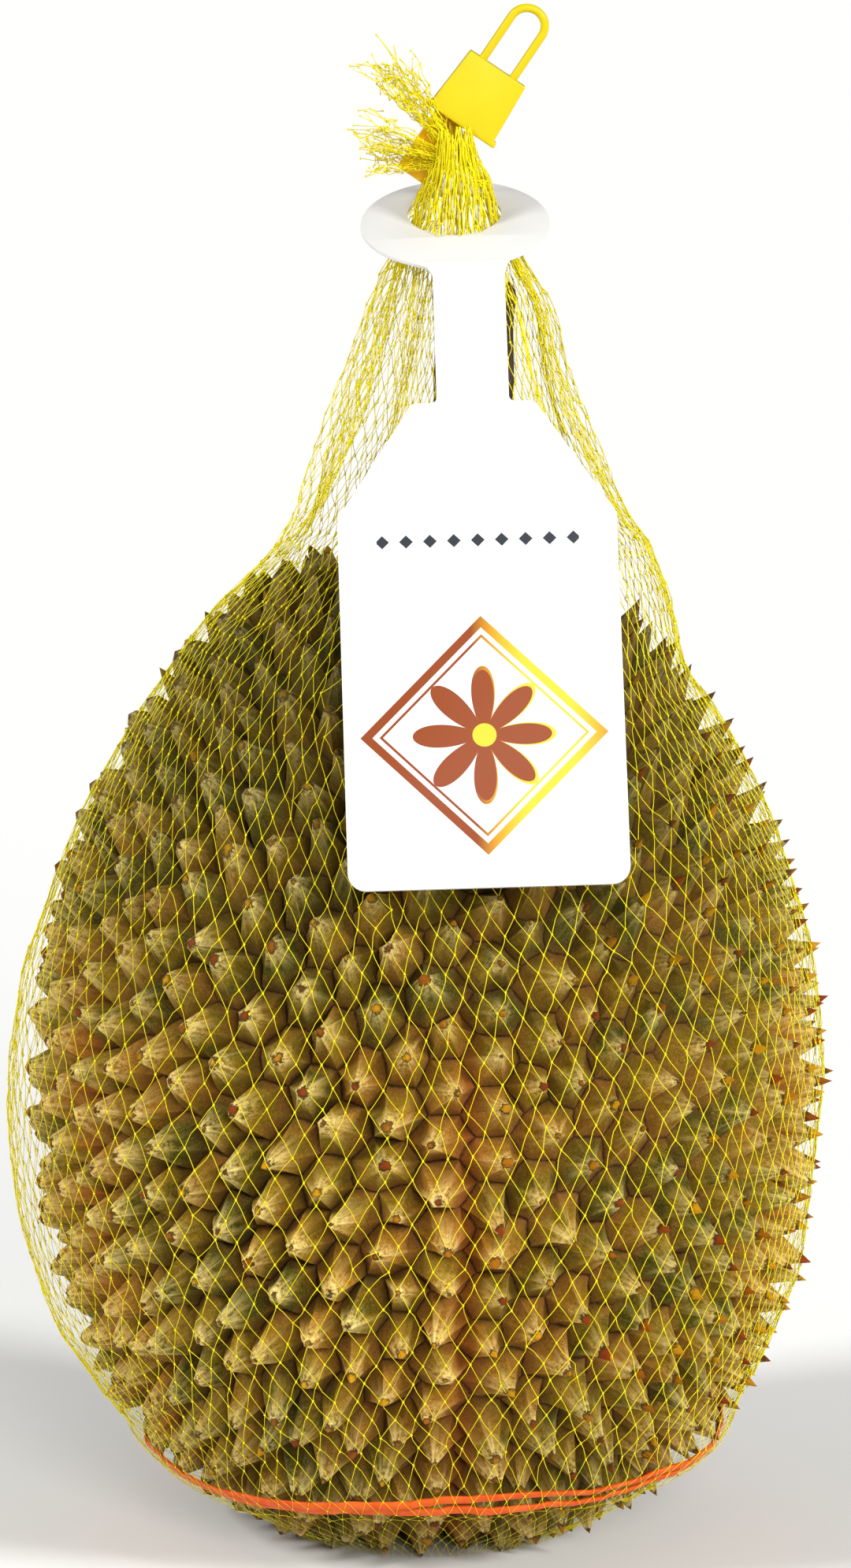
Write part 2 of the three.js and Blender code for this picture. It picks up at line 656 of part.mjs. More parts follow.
// The hanging loop: two straight legs and a half-round bend
class LoopCurve extends THREE.Curve {
  getPoint(share, target = new THREE.Vector3()) {
    const radius = LOOP_SPACING / 2;
    const leg = LOOP_LENGTH - radius - LOOP_BAR_RADIUS + LOOP_BITE;
    const bend = Math.PI * radius;
    const along = share * (2 * leg + bend);
    const foot = CLIP_HEIGHT / 2 - LOOP_BITE;
    if (along < leg) {
      return target.set(-radius, 0, foot + along);
    }
    if (along > leg + bend) {
      return target.set(radius, 0, foot + 2 * leg + bend - along);
    }
    const angle = Math.PI - (along - leg) / radius;
    return target.set(radius * Math.cos(angle), 0, foot + leg + radius * Math.sin(angle));
  }
}

function buildClip() {
  const bar = new THREE.Shape();
  bar.absarc(0, 0, LOOP_BAR_RADIUS, 0, 2 * Math.PI, false);
  const loop = new THREE.ExtrudeGeometry(bar, {
    extrudePath: new LoopCurve(), steps: LOOP_STEPS, curveSegments: 8, bevelEnabled: false,
  });
  return toGeometry(clipBodySolid().add(toSolid(loop)));
}

// The strap plate hangs behind the bundle, its upper end against the back of the clip's body
function buildClipPlate() {
  const half = PLATE_WIDTH / 2;
  const round = PLATE_ROUND;
  const shape = new THREE.Shape();
  shape.moveTo(-half + round, 0);
  shape.lineTo(half - round, 0);
  shape.absarc(half - round, round, round, -Math.PI / 2, 0, false);
  shape.lineTo(half, PLATE_LENGTH);
  shape.lineTo(-half, PLATE_LENGTH);
  shape.lineTo(-half, round);
  shape.absarc(-half + round, round, round, Math.PI, 1.5 * Math.PI, false);
  const plate = new THREE.ExtrudeGeometry(shape, {
    depth: PLATE_THICKNESS, bevelEnabled: false, curveSegments: 4,
  });
  const behind = CLIP_THICKNESS / 2 + TOUCHING_GAP + PLATE_THICKNESS;
  plate.rotateX(Math.PI / 2);
  plate.translate(PLATE_SHIFT, behind, PLATE_DROP - PLATE_LENGTH / 2);
  return plate;
}

// The share of the husk's profile that lies at a given height
function shareAtHeight(z) {
  let low = 0.1;
  let high = 0.9;
  for (let halving = 0; halving < 30; halving += 1) {
    const middle = (low + high) / 2;
    if (profileAt(middle).point.y < z) {
      low = middle;
    } else {
      high = middle;
    }
  }
  return (low + high) / 2;
}

// The band: a flat loop with a groove along its middle, following the tips of the spines
function buildBand() {
  const half = BAND_STRAND_WIDTH + BAND_GROOVE / 2;
  const groove = BAND_GROOVE / 2;
  const outside = BAND_THICKNESS;
  const edge = outside * BAND_EDGE_SHARE;
  const section = [
    [-half, 0], [half, 0], [half, edge], [half - BAND_EDGE_ROUND, outside], [groove, outside],
    [0, outside * BAND_GROOVE_SHARE], [-groove, outside], [-half + BAND_EDGE_ROUND, outside], [-half, edge],
  ];
  const rings = [];
  for (let step = 0; step < BAND_STEPS; step += 1) {
    const angle = (step / BAND_STEPS) * 2 * Math.PI;
    const height = BAND_Z + Math.sin(BAND_TILT) * BAND_RADIUS * Math.cos(angle);
    const { point, normal, tangent } = profileAt(shareAtHeight(height));
    const lift = SPINE_HEIGHT * SPINE_HEIGHT_SPREAD * 0.5 + BAND_CLEARANCE;
    rings.push(section.map(([along, out]) => {
      const radius = (point.x + normal.x * (lift + out)) * lobe(angle) + tangent.x * along;
      const z = point.y + normal.y * (lift + out) + tangent.y * along;
      return new THREE.Vector3(radius * Math.cos(angle), radius * Math.sin(angle), z);
    }));
  }
  return loft(rings, true);
}

function namedMesh(name, geometry, finish) {
  const mesh = new THREE.Mesh(geometry, new THREE.MeshStandardMaterial(FINISHES[finish]));
  mesh.name = name;
  return mesh;
}

// The net is cut where it closes over the stalk, and its upper part is the bundle and the tail
function buildNet() {
  const lattice = netLattice();
  const bag = lattice.subtract(boxAbove(NECK_CUT_Z));
  const gathered = lattice.add(bundleSolid()).add(tailSolid(randomSource(SEED + 1)));
  const neck = gathered.subtract(boxBelow(NECK_CUT_Z + TOUCHING_GAP));
  return { bag: toGeometry(bag), neck: toGeometry(neck) };
}

const net = buildNet();
const durian = new THREE.Group();
durian.add(namedMesh('husk', buildHusk(), 'husk'));
durian.add(namedMesh('stalk', buildStalk(), 'stalk'));
durian.add(namedMesh('rubber_band', buildBand(), 'band'));
durian.add(namedMesh('net_bag', net.bag, 'net'));
durian.add(namedMesh('net_neck', net.neck, 'net'));

const tag = new THREE.Group();
tag.position.copy(TAG_FOOT);
tag.rotation.x = tagPitch;
const tagMesh = namedMesh('swing_tag', buildTag(), 'tag');
tagMesh.rotation.z = TAG_TURN;
tag.add(tagMesh);
durian.add(tag);

const clip = new THREE.Group();
clip.position.copy(CLIP_CENTRE);
clip.rotation.y = CLIP_TILT;
clip.add(namedMesh('clip_body', buildClip(), 'clip'));
clip.add(namedMesh('clip_plate', buildClipPlate(), 'clip'));
durian.add(clip);

export default durian;
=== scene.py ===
"""A durian in its net bag: the visual model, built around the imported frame. Metres, +Z up."""

import logging
import math
from dataclasses import dataclass
from enum import Enum

import bmesh
import bpy
import numpy as np
from mathutils import Matrix, Vector, kdtree, noise
from mathutils.bvhtree import BVHTree


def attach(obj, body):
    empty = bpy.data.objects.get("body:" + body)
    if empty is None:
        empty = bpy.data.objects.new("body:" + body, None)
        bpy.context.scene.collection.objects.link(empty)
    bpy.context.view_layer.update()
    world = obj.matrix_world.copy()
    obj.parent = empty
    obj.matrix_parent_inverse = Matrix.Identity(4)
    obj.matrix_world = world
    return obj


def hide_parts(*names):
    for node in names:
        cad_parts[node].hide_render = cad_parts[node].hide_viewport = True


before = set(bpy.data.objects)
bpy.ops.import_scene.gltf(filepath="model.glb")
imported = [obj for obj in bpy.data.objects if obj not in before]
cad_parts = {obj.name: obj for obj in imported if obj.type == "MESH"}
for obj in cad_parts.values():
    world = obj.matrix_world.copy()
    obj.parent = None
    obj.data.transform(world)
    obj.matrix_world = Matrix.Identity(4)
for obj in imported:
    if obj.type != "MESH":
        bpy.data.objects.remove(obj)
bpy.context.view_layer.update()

MM = 0.001
LOG = logging.getLogger("durian")

# The fruit's outline through the tips of its spines: radius and height in mm, from foot to crown
TIP_OUTLINE_MM = (
    (0, -3), (20, -2), (30, -0.5), (38, 2.4), (48, 6.6), (60.5, 16), (70.5, 28), (78.5, 41.5),
    (84.2, 57), (88, 74), (90, 92), (90.3, 108), (88.6, 127), (85, 145), (79.3, 161.5),
    (72.3, 176), (64.3, 189.5), (56.5, 202), (47.5, 212), (37, 219), (24, 224.5), (10, 227.6), (0, 228),
)
SUTURES = 5
FRONT_SUTURE_ANGLE = math.radians(-84)
FRUIT_HEIGHT = 228 * MM
FRUIT_RADIUS = 90 * MM
HEART_HEIGHT = 105 * MM
FLOOR_LIFT = 0.7 * MM

# Millimetres that one unit of the tag's flat map stands for
FLAT_MAP_MM = 100.0


class Slot(Enum):
    """The record's material slot names; the pieces here take their finish from their own materials, not from
    these.
    """

    HUSK = "husk"
    STALK = "stalk"
    BAND = "band"
    NET = "net"
    TAG = "tag"
    CLIP = "clip"


class TipKind(Enum):
    """How worn the tip of a spine is."""

    SHARP = "sharp"
    ROUNDED = "rounded"
    BLUNT = "blunt"


def linear(colour: str) -> tuple[float, float, float, float]:
    """Turns an sRGB hex colour to linear values.

    Args:
        colour: The colour, as six hex digits after a #.

    Returns:
        Linear red, green and blue, and full opacity.
    """
    parts = [int(colour[start : start + 2], 16) / 255 for start in (1, 3, 5)]
    parts = [part / 12.92 if part <= 0.04045 else ((part + 0.055) / 1.055) ** 2.4 for part in parts]
    return (parts[0], parts[1], parts[2], 1.0)


def add_node(
    tree: bpy.types.NodeTree, kind: str, settings: dict | None = None, links: dict | None = None
) -> bpy.types.Node:
    """Adds a shader node with its settings and links.

    Args:
        tree: The material's node tree.
        kind: The node's type, without the leading ShaderNode.
        settings: Values by property name, or by the name or number of an input. The key stops
            holds the positions and colours of a colour ramp.
        links: What feeds its inputs, by the input's name or number: an output socket, or a node
            whose first output in use is meant.

    Returns:
        The new node.
    """
    node = tree.nodes.new("ShaderNode" + kind)
    for key, value in (settings or {}).items():
        if key == "stops":
            while len(node.color_ramp.elements) < len(value):
                node.color_ramp.elements.new(0.5)
            for element, (position, colour) in zip(node.color_ramp.elements, value):
                element.position = position
                element.color = colour
        elif isinstance(key, str) and hasattr(node, key):
            setattr(node, key, value)
        else:
            node.inputs[key].default_value = value
    for key, source in (links or {}).items():
        if isinstance(source, bpy.types.Node):
            source = next(socket for socket in source.outputs if socket.enabled)
        tree.links.new(source, node.inputs[key])
    return node


def close_material(
    tree: bpy.types.NodeTree,
    surface: dict,
    colour: bpy.types.Node,
    relief: bpy.types.Node | None = None,
    strength: float = 1.0,
    depth_mm: float = 0.0,
) -> None:
    """Ends a material with its surface, bumped where it has a relief.

    Args:
        tree: The material's node tree.
        surface: The settings of its surface.
        colour: The node that gives its colour.
        relief: The node that gives the height of its relief, if it has one.
        strength: How strong the relief is.
        depth_mm: How deep it is.
    """
    links = {"Base Color": colour}
    if relief is not None:
        bump = {"Strength": strength, "Distance": depth_mm * MM}
        links["Normal"] = add_node(tree, "Bump", bump, {"Height": relief})
    shader = add_node(tree, "BsdfPrincipled", surface, links)
    add_node(tree, "OutputMaterial", links={0: shader})


def new_material(name: str) -> tuple[bpy.types.Material, bpy.types.NodeTree]:
    """Makes an empty node material.

    Args:
        name: The material's name.

    Returns:
        The material and its node tree.
    """
    material = bpy.data.materials.new(name)
    material.use_nodes = True
    material.node_tree.nodes.clear()
    return material, material.node_tree


def deselect_all() -> None:
    """Clears the selection, so that an operator acts on its own piece alone."""
    if bpy.context.mode != "OBJECT":
        bpy.ops.object.mode_set(mode="OBJECT")
    bpy.ops.object.select_all(action="DESELECT")


def take(piece: bpy.types.Object) -> None:
    """Selects one piece and makes it active."""
    deselect_all()
    piece.select_set(True)
    bpy.context.view_layer.objects.active = piece


def mesh_piece(name: str, vertices: np.ndarray, faces: list) -> bpy.types.Object:
    """Makes a mesh object at the origin.

    Args:
        name: The piece's name.
        vertices: Its points, in metres.
        faces: Its faces, as lists of point numbers.

    Returns:
        The new object.
    """
    mesh = bpy.data.meshes.new(name)
    mesh.from_pydata([tuple(point) for point in vertices], [], faces)
    mesh.update()
    piece = bpy.data.objects.new(name, mesh)
    bpy.context.scene.collection.objects.link(piece)
    return piece


def place(piece: bpy.types.Object, matrix: Matrix) -> None:
    """Bakes a placement and the piece's own transform into its mesh.

    Args:
        piece: The piece, modelled round the origin.
        matrix: Where it goes in the shared frame.
    """
    bpy.context.view_layer.update()
    piece.data.transform(matrix @ piece.matrix_world)
    piece.matrix_world = Matrix.Identity(4)
    piece.data.update()


def apply_modifier(piece: bpy.types.Object, kind: str, settings: dict) -> None:
    """Adds a modifier to a piece and applies it.

    Args:
        piece: The piece to change.
        kind: The modifier's type.
        settings: Its settings, by name.
    """
    take(piece)
    modifier = piece.modifiers.new(kind.title(), kind)
    for key, value in settings.items():
        setattr(modifier, key, value)
    bpy.ops.object.modifier_apply(modifier=modifier.name)


def finish_piece(
    piece: bpy.types.Object, material: bpy.types.Material, angle: float = 40
) -> None:
    """Smooths a piece, dresses it and puts it on the object's one body.

    Args:
        piece: The finished piece.
        material: Its material.
        angle: Edges sharper than this many degrees stay crisp.
    """
    take(piece)
    bpy.ops.object.shade_smooth_by_angle(angle=math.radians(angle))
    piece.data.materials.clear()
    piece.data.materials.append(material)
    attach(piece, "root")
    LOG.info("%s: %d points, %d faces", piece.name, len(piece.data.vertices), len(piece.data.polygons))


def smoothstep(low: float, high: float, value: np.ndarray) -> np.ndarray:
    """Eases from 0 at low to 1 at high.

    Args:
        low: Where the rise starts.
        high: Where it ends.
        value: The value or values to map.

    Returns:
        The eased share.
    """
    share = np.clip((value - low) / (high - low), 0, 1)
    return share * share * (3 - 2 * share)


class Outline:
    """A smooth curve through a few points of an outline, read by its share of length."""

    def __init__(self, points: list | tuple) -> None:
        """Samples the curve.

        Args:
            points: The points that it passes through, each a row of equally many values.
        """
        knots = np.array(points, dtype=float)
        padded = np.vstack([2 * knots[0] - knots[1], knots, 2 * knots[-1] - knots[-2]])
        rows = []
        for index in range(1, len(padded) - 2):
            before, start, end, after = padded[index - 1 : index + 3]
            for t in np.linspace(0, 1, 24, endpoint=False):
                bend = (2 * before - 5 * start + 4 * end - after) * t * t
                twist = (3 * start - before - 3 * end + after) * t**3
                rows.append(0.5 * (2 * start + (end - before) * t + bend + twist))
        self.samples = np.vstack([rows, knots[-1]])
        steps = np.linalg.norm(np.diff(self.samples[:, :2], axis=0), axis=1)
        self.travel = np.concatenate([[0], np.cumsum(steps)])
        self.length = float(self.travel[-1])

    def at(self, share: np.ndarray) -> np.ndarray:
        """Reads the curve.

        Args:
            share: Shares of its length, from 0 to 1.

        Returns:
            One row of values for each share.
        """
        travel = np.clip(np.asarray(share, dtype=float), 0, 1) * self.length
        columns = [np.interp(travel, self.travel, column) for column in self.samples.T]
        return np.stack(columns, axis=-1)

    def share_at_height(self, height: float) -> float:
        """Finds where a curve of radius and height first passes a height.

        Args:
            height: The height, in the curve's own unit.

        Returns:
            The share of its length there.
        """
        above = np.nonzero(self.samples[:, 1] >= height)[0][0]
        return float(self.travel[above] / self.length)


TIP_OUTLINE = Outline(TIP_OUTLINE_MM)


@dataclass(frozen=True)
class VelvetHusk:
    """Ripe durian husk, grown: a dull olive-brown skin with pale scurf on the spines and corky tips."""

    olive: str = "#8A6C0A"
    brown: str = "#986818"
    green: str = "#4C4A04"
    tan: str = "#9C5C34"
    valley: str = "#40200E"
    scurf: str = "#EAD284"
    cork_dark: str = "#7C3000"
    cork_light: str = "#B88404"
    cork_rim: str = "#3C2C08"
    seam: str = "#AC5014"
    crown: str = "#3A340A"
    bloom: str = "#E8D8A0"
    mottle_mm: float = 7.0
    grain_mm: float = 1.1
    speckle_mm: float = 0.38
    streaks_round: float = 2.6
    bump_mm: float = 0.35

    def build(self) -> bpy.types.Material:
        """Builds the material from the spine coordinates in the husk's own maps."""
        material, tree = new_material("durian_husk_grown_velvety")
        place_in = add_node(tree, "TexCoord").outputs["Object"]
        height = add_node(tree, "SeparateXYZ", links={0: place_in}).outputs[2]
        spine, tone, wear = (
            add_node(tree, "SeparateXYZ", links={0: add_node(tree, "UVMap", {"uv_map": name})}).outputs
            for name in ("spine", "tone", "wear")
        )
        round_spine, down_spine = spine[0], spine[1]
        seam = add_node(tree, "Attribute", {"attribute_name": "seam"}).outputs["Fac"]
        warm = add_node(tree, "Attribute", {"attribute_name": "warm"}).outputs["Fac"]
        mottle, grain, speckle = (
            add_node(
                tree, "TexNoise", {"Scale": 1 / (size_mm * MM), "Detail": detail, "Roughness": roughness},
                {"Vector": place_in},
            )
            for size_mm, detail, roughness in (
                (self.mottle_mm, 3.0, 0.6), (self.grain_mm, 4.0, 0.7), (self.speckle_mm, 2.0, 0.6)
            )
        )

        # Mottled ground colour, browner or greener from patch to patch and from spine to spine
        own_patch = add_node(
            tree, "Math", {"operation": "MULTIPLY_ADD", 1: 0.45}, {0: tone[0], 2: mottle}
        )
        patch = add_node(
            tree, "Math", {"operation": "MULTIPLY_ADD", 1: 0.3}, {0: warm, 2: own_patch}
        )
        ground = add_node(
            tree, "ValToRGB",
            {"stops": [(0.5, linear(self.green)), (0.76, linear(self.olive)), (1.0, linear(self.brown))]},
            {0: patch},
        )
        grain_tone = add_node(
            tree, "MapRange", {"From Min": 0.3, "From Max": 0.7, "To Min": 0.6, "To Max": 1.3}, {0: grain}
        )
        skin = add_node(
            tree, "Mix", {"data_type": "RGBA", "blend_type": "MULTIPLY", 0: 1.0}, {6: ground, 7: grain_tone}
        )

        # Pale streaks that run from the tip down the ridges, and scurf round the tip
        turn = add_node(tree, "Math", {"operation": "MULTIPLY", 1: 2 * math.pi}, {0: round_spine})
        wheel = {}
        for axis, operation in enumerate(("COSINE", "SINE")):
            swing = add_node(tree, "Math", {"operation": operation}, {0: turn})
            wheel[axis] = add_node(
                tree, "Math", {"operation": "MULTIPLY", 1: self.streaks_round}, {0: swing}
            )
        own_start = add_node(tree, "Math", {"operation": "MULTIPLY", 1: 97.0}, {0: tone[1]})
        wheel[2] = add_node(tree, "Math", {"operation": "ADD"}, {0: own_start, 1: down_spine})
        wheel_place = add_node(tree, "CombineXYZ", links=wheel)
        streak = add_node(
            tree, "TexNoise", {"Scale": 1.0, "Detail": 3.0, "Roughness": 0.55}, {"Vector": wheel_place}
        )
        streak_line = add_node(tree, "MapRange", {"From Min": 0.47, "From Max": 0.68}, {0: streak})
        streak_fade = add_node(
            tree, "MapRange", {"From Min": 0.15, "From Max": 0.75, "To Min": 0.6, "To Max": 0.0},
            {0: down_spine},
        )
        streak_amount = add_node(
            tree, "Math", {"operation": "MULTIPLY"}, {0: streak_line, 1: streak_fade}
        )
        scurf_fade = add_node(
            tree, "MapRange", {"From Min": 0.08, "From Max": 0.44, "To Min": 1.0, "To Max": 0.0},
            {0: down_spine},
        )
        scurf_patch = add_node(
            tree, "MapRange", {"From Min": 0.4, "From Max": 0.62, "To Max": 0.8}, {0: grain}
        )
        scurf_amount = add_node(tree, "Math", {"operation": "MULTIPLY"}, {0: scurf_fade, 1: scurf_patch})
        speckle_on = add_node(
            tree, "MapRange", {"From Min": 0.56, "From Max": 0.7, "To Max": 0.5}, {0: speckle}
        )
        speckle_amount = add_node(tree, "Math", {"operation": "MULTIPLY"}, {0: speckle_on, 1: mottle})

        # Pinkish tan towards the valleys, orange-brown along the seams, and a thin dark line between spines
        edge_noise = add_node(
            tree, "MapRange", {"From Min": 0.3, "From Max": 0.7, "To Min": -0.05, "To Max": 0.03}, {0: grain}
        )
        down = add_node(tree, "Math", {"operation": "ADD"}, {0: down_spine, 1: edge_noise})
        tan_rise = add_node(tree, "MapRange", {"From Min": 0.6, "From Max": 0.94, "To Max": 0.7}, {0: down})
        tan_amount = add_node(tree, "Math", {"operation": "MULTIPLY"}, {0: tan_rise, 1: mottle})
        seam_patch = add_node(
            tree, "MapRange", {"From Min": 0.35, "From Max": 0.62, "To Min": 0.15, "To Max": 0.8}, {0: grain}
        )
        seam_amount = add_node(tree, "Math", {"operation": "MULTIPLY"}, {0: seam, 1: seam_patch})
        line_amount = add_node(
            tree, "MapRange", {"From Min": 0.925, "From Max": 0.995, "To Max": 0.9}, {0: down}
        )
        for amount, colour in (
            (streak_amount, self.scurf), (scurf_amount, self.scurf), (speckle_amount, self.scurf),
            (tan_amount, self.tan), (seam_amount, self.seam), (line_amount, self.valley),
        ):
            skin = add_node(tree, "Mix", {"data_type": "RGBA", 7: linear(colour)}, {0: amount, 6: skin})

        # The corky tip, amber or rust with a dark rim, its size given by the wear
        cork = add_node(
            tree, "ValToRGB", {"stops": [(0.2, linear(self.cork_dark)), (0.75, linear(self.cork_light))]},
            {0: tone[1]},
        )
        cork_edge = add_node(tree, "Math", {"operation": "SUBTRACT"}, {0: wear[0], 1: down})
        cork_amount = add_node(tree, "MapRange", {"From Min": -0.025, "From Max": 0.005}, {0: cork_edge})
        cork_ring = add_node(
            tree, "MapRange", {"From Min": 0.01, "From Max": 0.055, "To Min": 1.0, "To Max": 0.0},
            {0: cork_edge},
        )
        ringed = add_node(
            tree, "Mix", {"data_type": "RGBA", 7: linear(self.cork_rim)}, {0: cork_ring, 6: cork}
        )
        skin = add_node(tree, "Mix", {"data_type": "RGBA"}, {0: cork_amount, 6: skin, 7: ringed})

        # Painted light and shade: lighter near the tips and darker down the flanks towards the valleys, and
        # a painted shadow at the foot; then a darker olive-green towards the crown
        # Painted shade: the flanks darken towards the valleys, and the tips are painted lighter
        painted_flank_shade = add_node(
            tree, "MapRange", {"From Min": 0.35, "From Max": 0.95, "To Min": 1.12, "To Max": 0.58}, {0: down}
        )
        # Painted shadow: the husk darkens towards the floor, where its underside is in shade
        painted_foot_shadow = add_node(
            tree, "MapRange", {"From Min": 0.0, "From Max": 0.06, "To Min": 0.45, "To Max": 1.0}, {0: height}
        )
        for shade in (painted_flank_shade, painted_foot_shadow):
            skin = add_node(
                tree, "Mix", {"data_type": "RGBA", "blend_type": "MULTIPLY", 0: 1.0}, {6: skin, 7: shade}
            )
        crown_amount = add_node(
            tree, "MapRange", {"From Min": 0.12, "From Max": 0.2, "To Max": 0.7}, {0: height}
        )
        skin = add_node(
            tree, "Mix", {"data_type": "RGBA", 7: linear(self.crown)}, {0: crown_amount, 6: skin}
        )
        relief = add_node(tree, "Math", {"operation": "MULTIPLY_ADD", 1: 0.8}, {0: streak, 2: grain})
        velvet = {
            "Roughness": 0.75, "IOR": 1.45, "Specular IOR Level": 0.2, "Sheen Weight": 0.04,
            "Sheen Roughness": 0.5, "Sheen Tint": linear(self.bloom),
        }
        close_material(tree, velvet, skin, relief, 0.55, self.bump_mm)
        return material


@dataclass(frozen=True)
class WoodyStalk:
    """Durian stalk, grown: dry dark brown bark with fine fissures along it and paler raised specks."""

    bark: str = "#3A261C"
    dark: str = "#1E130D"
    pale: str = "#7A6248"
    fissure_mm: float = 1.4
    fissure_stretch: float = 0.16
    speck_mm: float = 1.8
    bump_mm: float = 0.5

    def build(self) -> bpy.types.Material:
        """Builds the bark, with its fissures stretched along the stalk."""
        material, tree = new_material("durian_stalk_bark_grown")
        place_in = add_node(tree, "TexCoord").outputs["Object"]
        scale = {"Scale": (1.0, 1.0, self.fissure_stretch)}
        stretch = add_node(tree, "Mapping", scale, {"Vector": place_in})
        fissure = add_node(
            tree, "TexNoise", {"Scale": 1 / (self.fissure_mm * MM), "Detail": 5.0, "Roughness": 0.65},
            {"Vector": stretch},
        )
        speck = add_node(tree, "TexVoronoi", {"Scale": 1 / (self.speck_mm * MM)}, {"Vector": place_in})
        speck_amount = add_node(
            tree, "MapRange", {"From Min": 0.3, "From Max": 0.12, "To Max": 0.5}, {0: speck}
        )
        bark = add_node(
            tree, "ValToRGB",
            {"stops": [(0.35, linear(self.dark)), (0.55, linear(self.bark)), (0.78, linear(self.pale))]},
            {0: fissure},
        )
        specked = add_node(
            tree, "Mix", {"data_type": "RGBA", 7: linear(self.pale)}, {0: speck_amount, 6: bark}
        )
        relief = add_node(tree, "Math", {"operation": "ADD"}, {0: fissure, 1: speck_amount})
        close_material(tree, {"Roughness": 0.85, "IOR": 1.45}, specked, relief, 0.7, self.bump_mm)
        return material


@dataclass(frozen=True)
class ExtrudedNet:
    """Polyethylene netting, extruded: bright yellow and waxy, a little uneven along the thin strands."""

    yellow: str = "#FAEC00"
    thin: str = "#ECDA00"
    drift_mm: float = 9.0

    def build(self) -> bpy.types.Material:
        """Builds the waxy yellow, its tone drifting along the strands."""
        material, tree = new_material("polyethylene_net_extruded")
        place_in = add_node(tree, "TexCoord").outputs["Object"]
        drift = add_node(
            tree, "TexNoise", {"Scale": 1 / (self.drift_mm * MM), "Detail": 3.0}, {"Vector": place_in}
        )
        colour = add_node(
            tree, "ValToRGB", {"stops": [(0.3, linear(self.thin)), (0.7, linear(self.yellow))]}, {0: drift}
        )
        close_material(tree, {"Roughness": 0.45, "IOR": 1.51, "Specular IOR Level": 0.3}, colour)
        return material


@dataclass(frozen=True)
class MouldedClip:
    """Polypropylene, injection moulded: an even warm yellow with soft gloss and a faint flow ripple."""

    name: str = "polypropylene_clip_moulded"
    yellow: str = "#D2BC00"
    ripple_mm: float = 6.0
    bump_mm: float = 0.2

    def build(self) -> bpy.types.Material:
        """Builds the softly glossy moulded plastic."""
        material, tree = new_material(self.name)
        place_in = add_node(tree, "TexCoord").outputs["Object"]
        ripple = add_node(
            tree, "TexNoise", {"Scale": 1 / (self.ripple_mm * MM), "Detail": 2.0}, {"Vector": place_in}
        )
        tone = add_node(tree, "MapRange", {"To Min": 0.93, "To Max": 1.05}, {0: ripple})
        colour = add_node(
            tree, "Mix", {"data_type": "RGBA", "blend_type": "MULTIPLY", 0: 1.0, 6: linear(self.yellow)},
            {7: tone},
        )
        gloss = {"Roughness": 0.36, "IOR": 1.49, "Specular IOR Level": 0.25}
        close_material(tree, gloss, colour, ripple, 0.12, self.bump_mm)
        return material


@dataclass(frozen=True)
class CutRubber:
    """Natural rubber, cut from tube: flat orange strands, a little dusty, with a fine uneven grain."""

    orange: str = "#D24A00"
    dusty: str = "#E46C1C"
    dust_mm: float = 5.0
    grain_mm: float = 0.8
    bump_mm: float = 0.2

    def build(self) -> bpy.types.Material:
        """Builds the rubber, dusty in patches."""
        material, tree = new_material("natural_rubber_band_cut")
        place_in = add_node(tree, "TexCoord").outputs["Object"]
        dust = add_node(
            tree, "TexNoise", {"Scale": 1 / (self.dust_mm * MM), "Detail": 4.0}, {"Vector": place_in}
        )
        colour = add_node(
            tree, "ValToRGB", {"stops": [(0.42, linear(self.orange)), (0.75, linear(self.dusty))]}, {0: dust}
        )
        grain = add_node(
            tree, "TexNoise", {"Scale": 1 / (self.grain_mm * MM), "Detail": 2.0}, {"Vector": place_in}
        )
        dull = {"Roughness": 0.5, "IOR": 1.52, "Specular IOR Level": 0.3}
        close_material(tree, dull, colour, grain, 0.3, self.bump_mm)
        return material


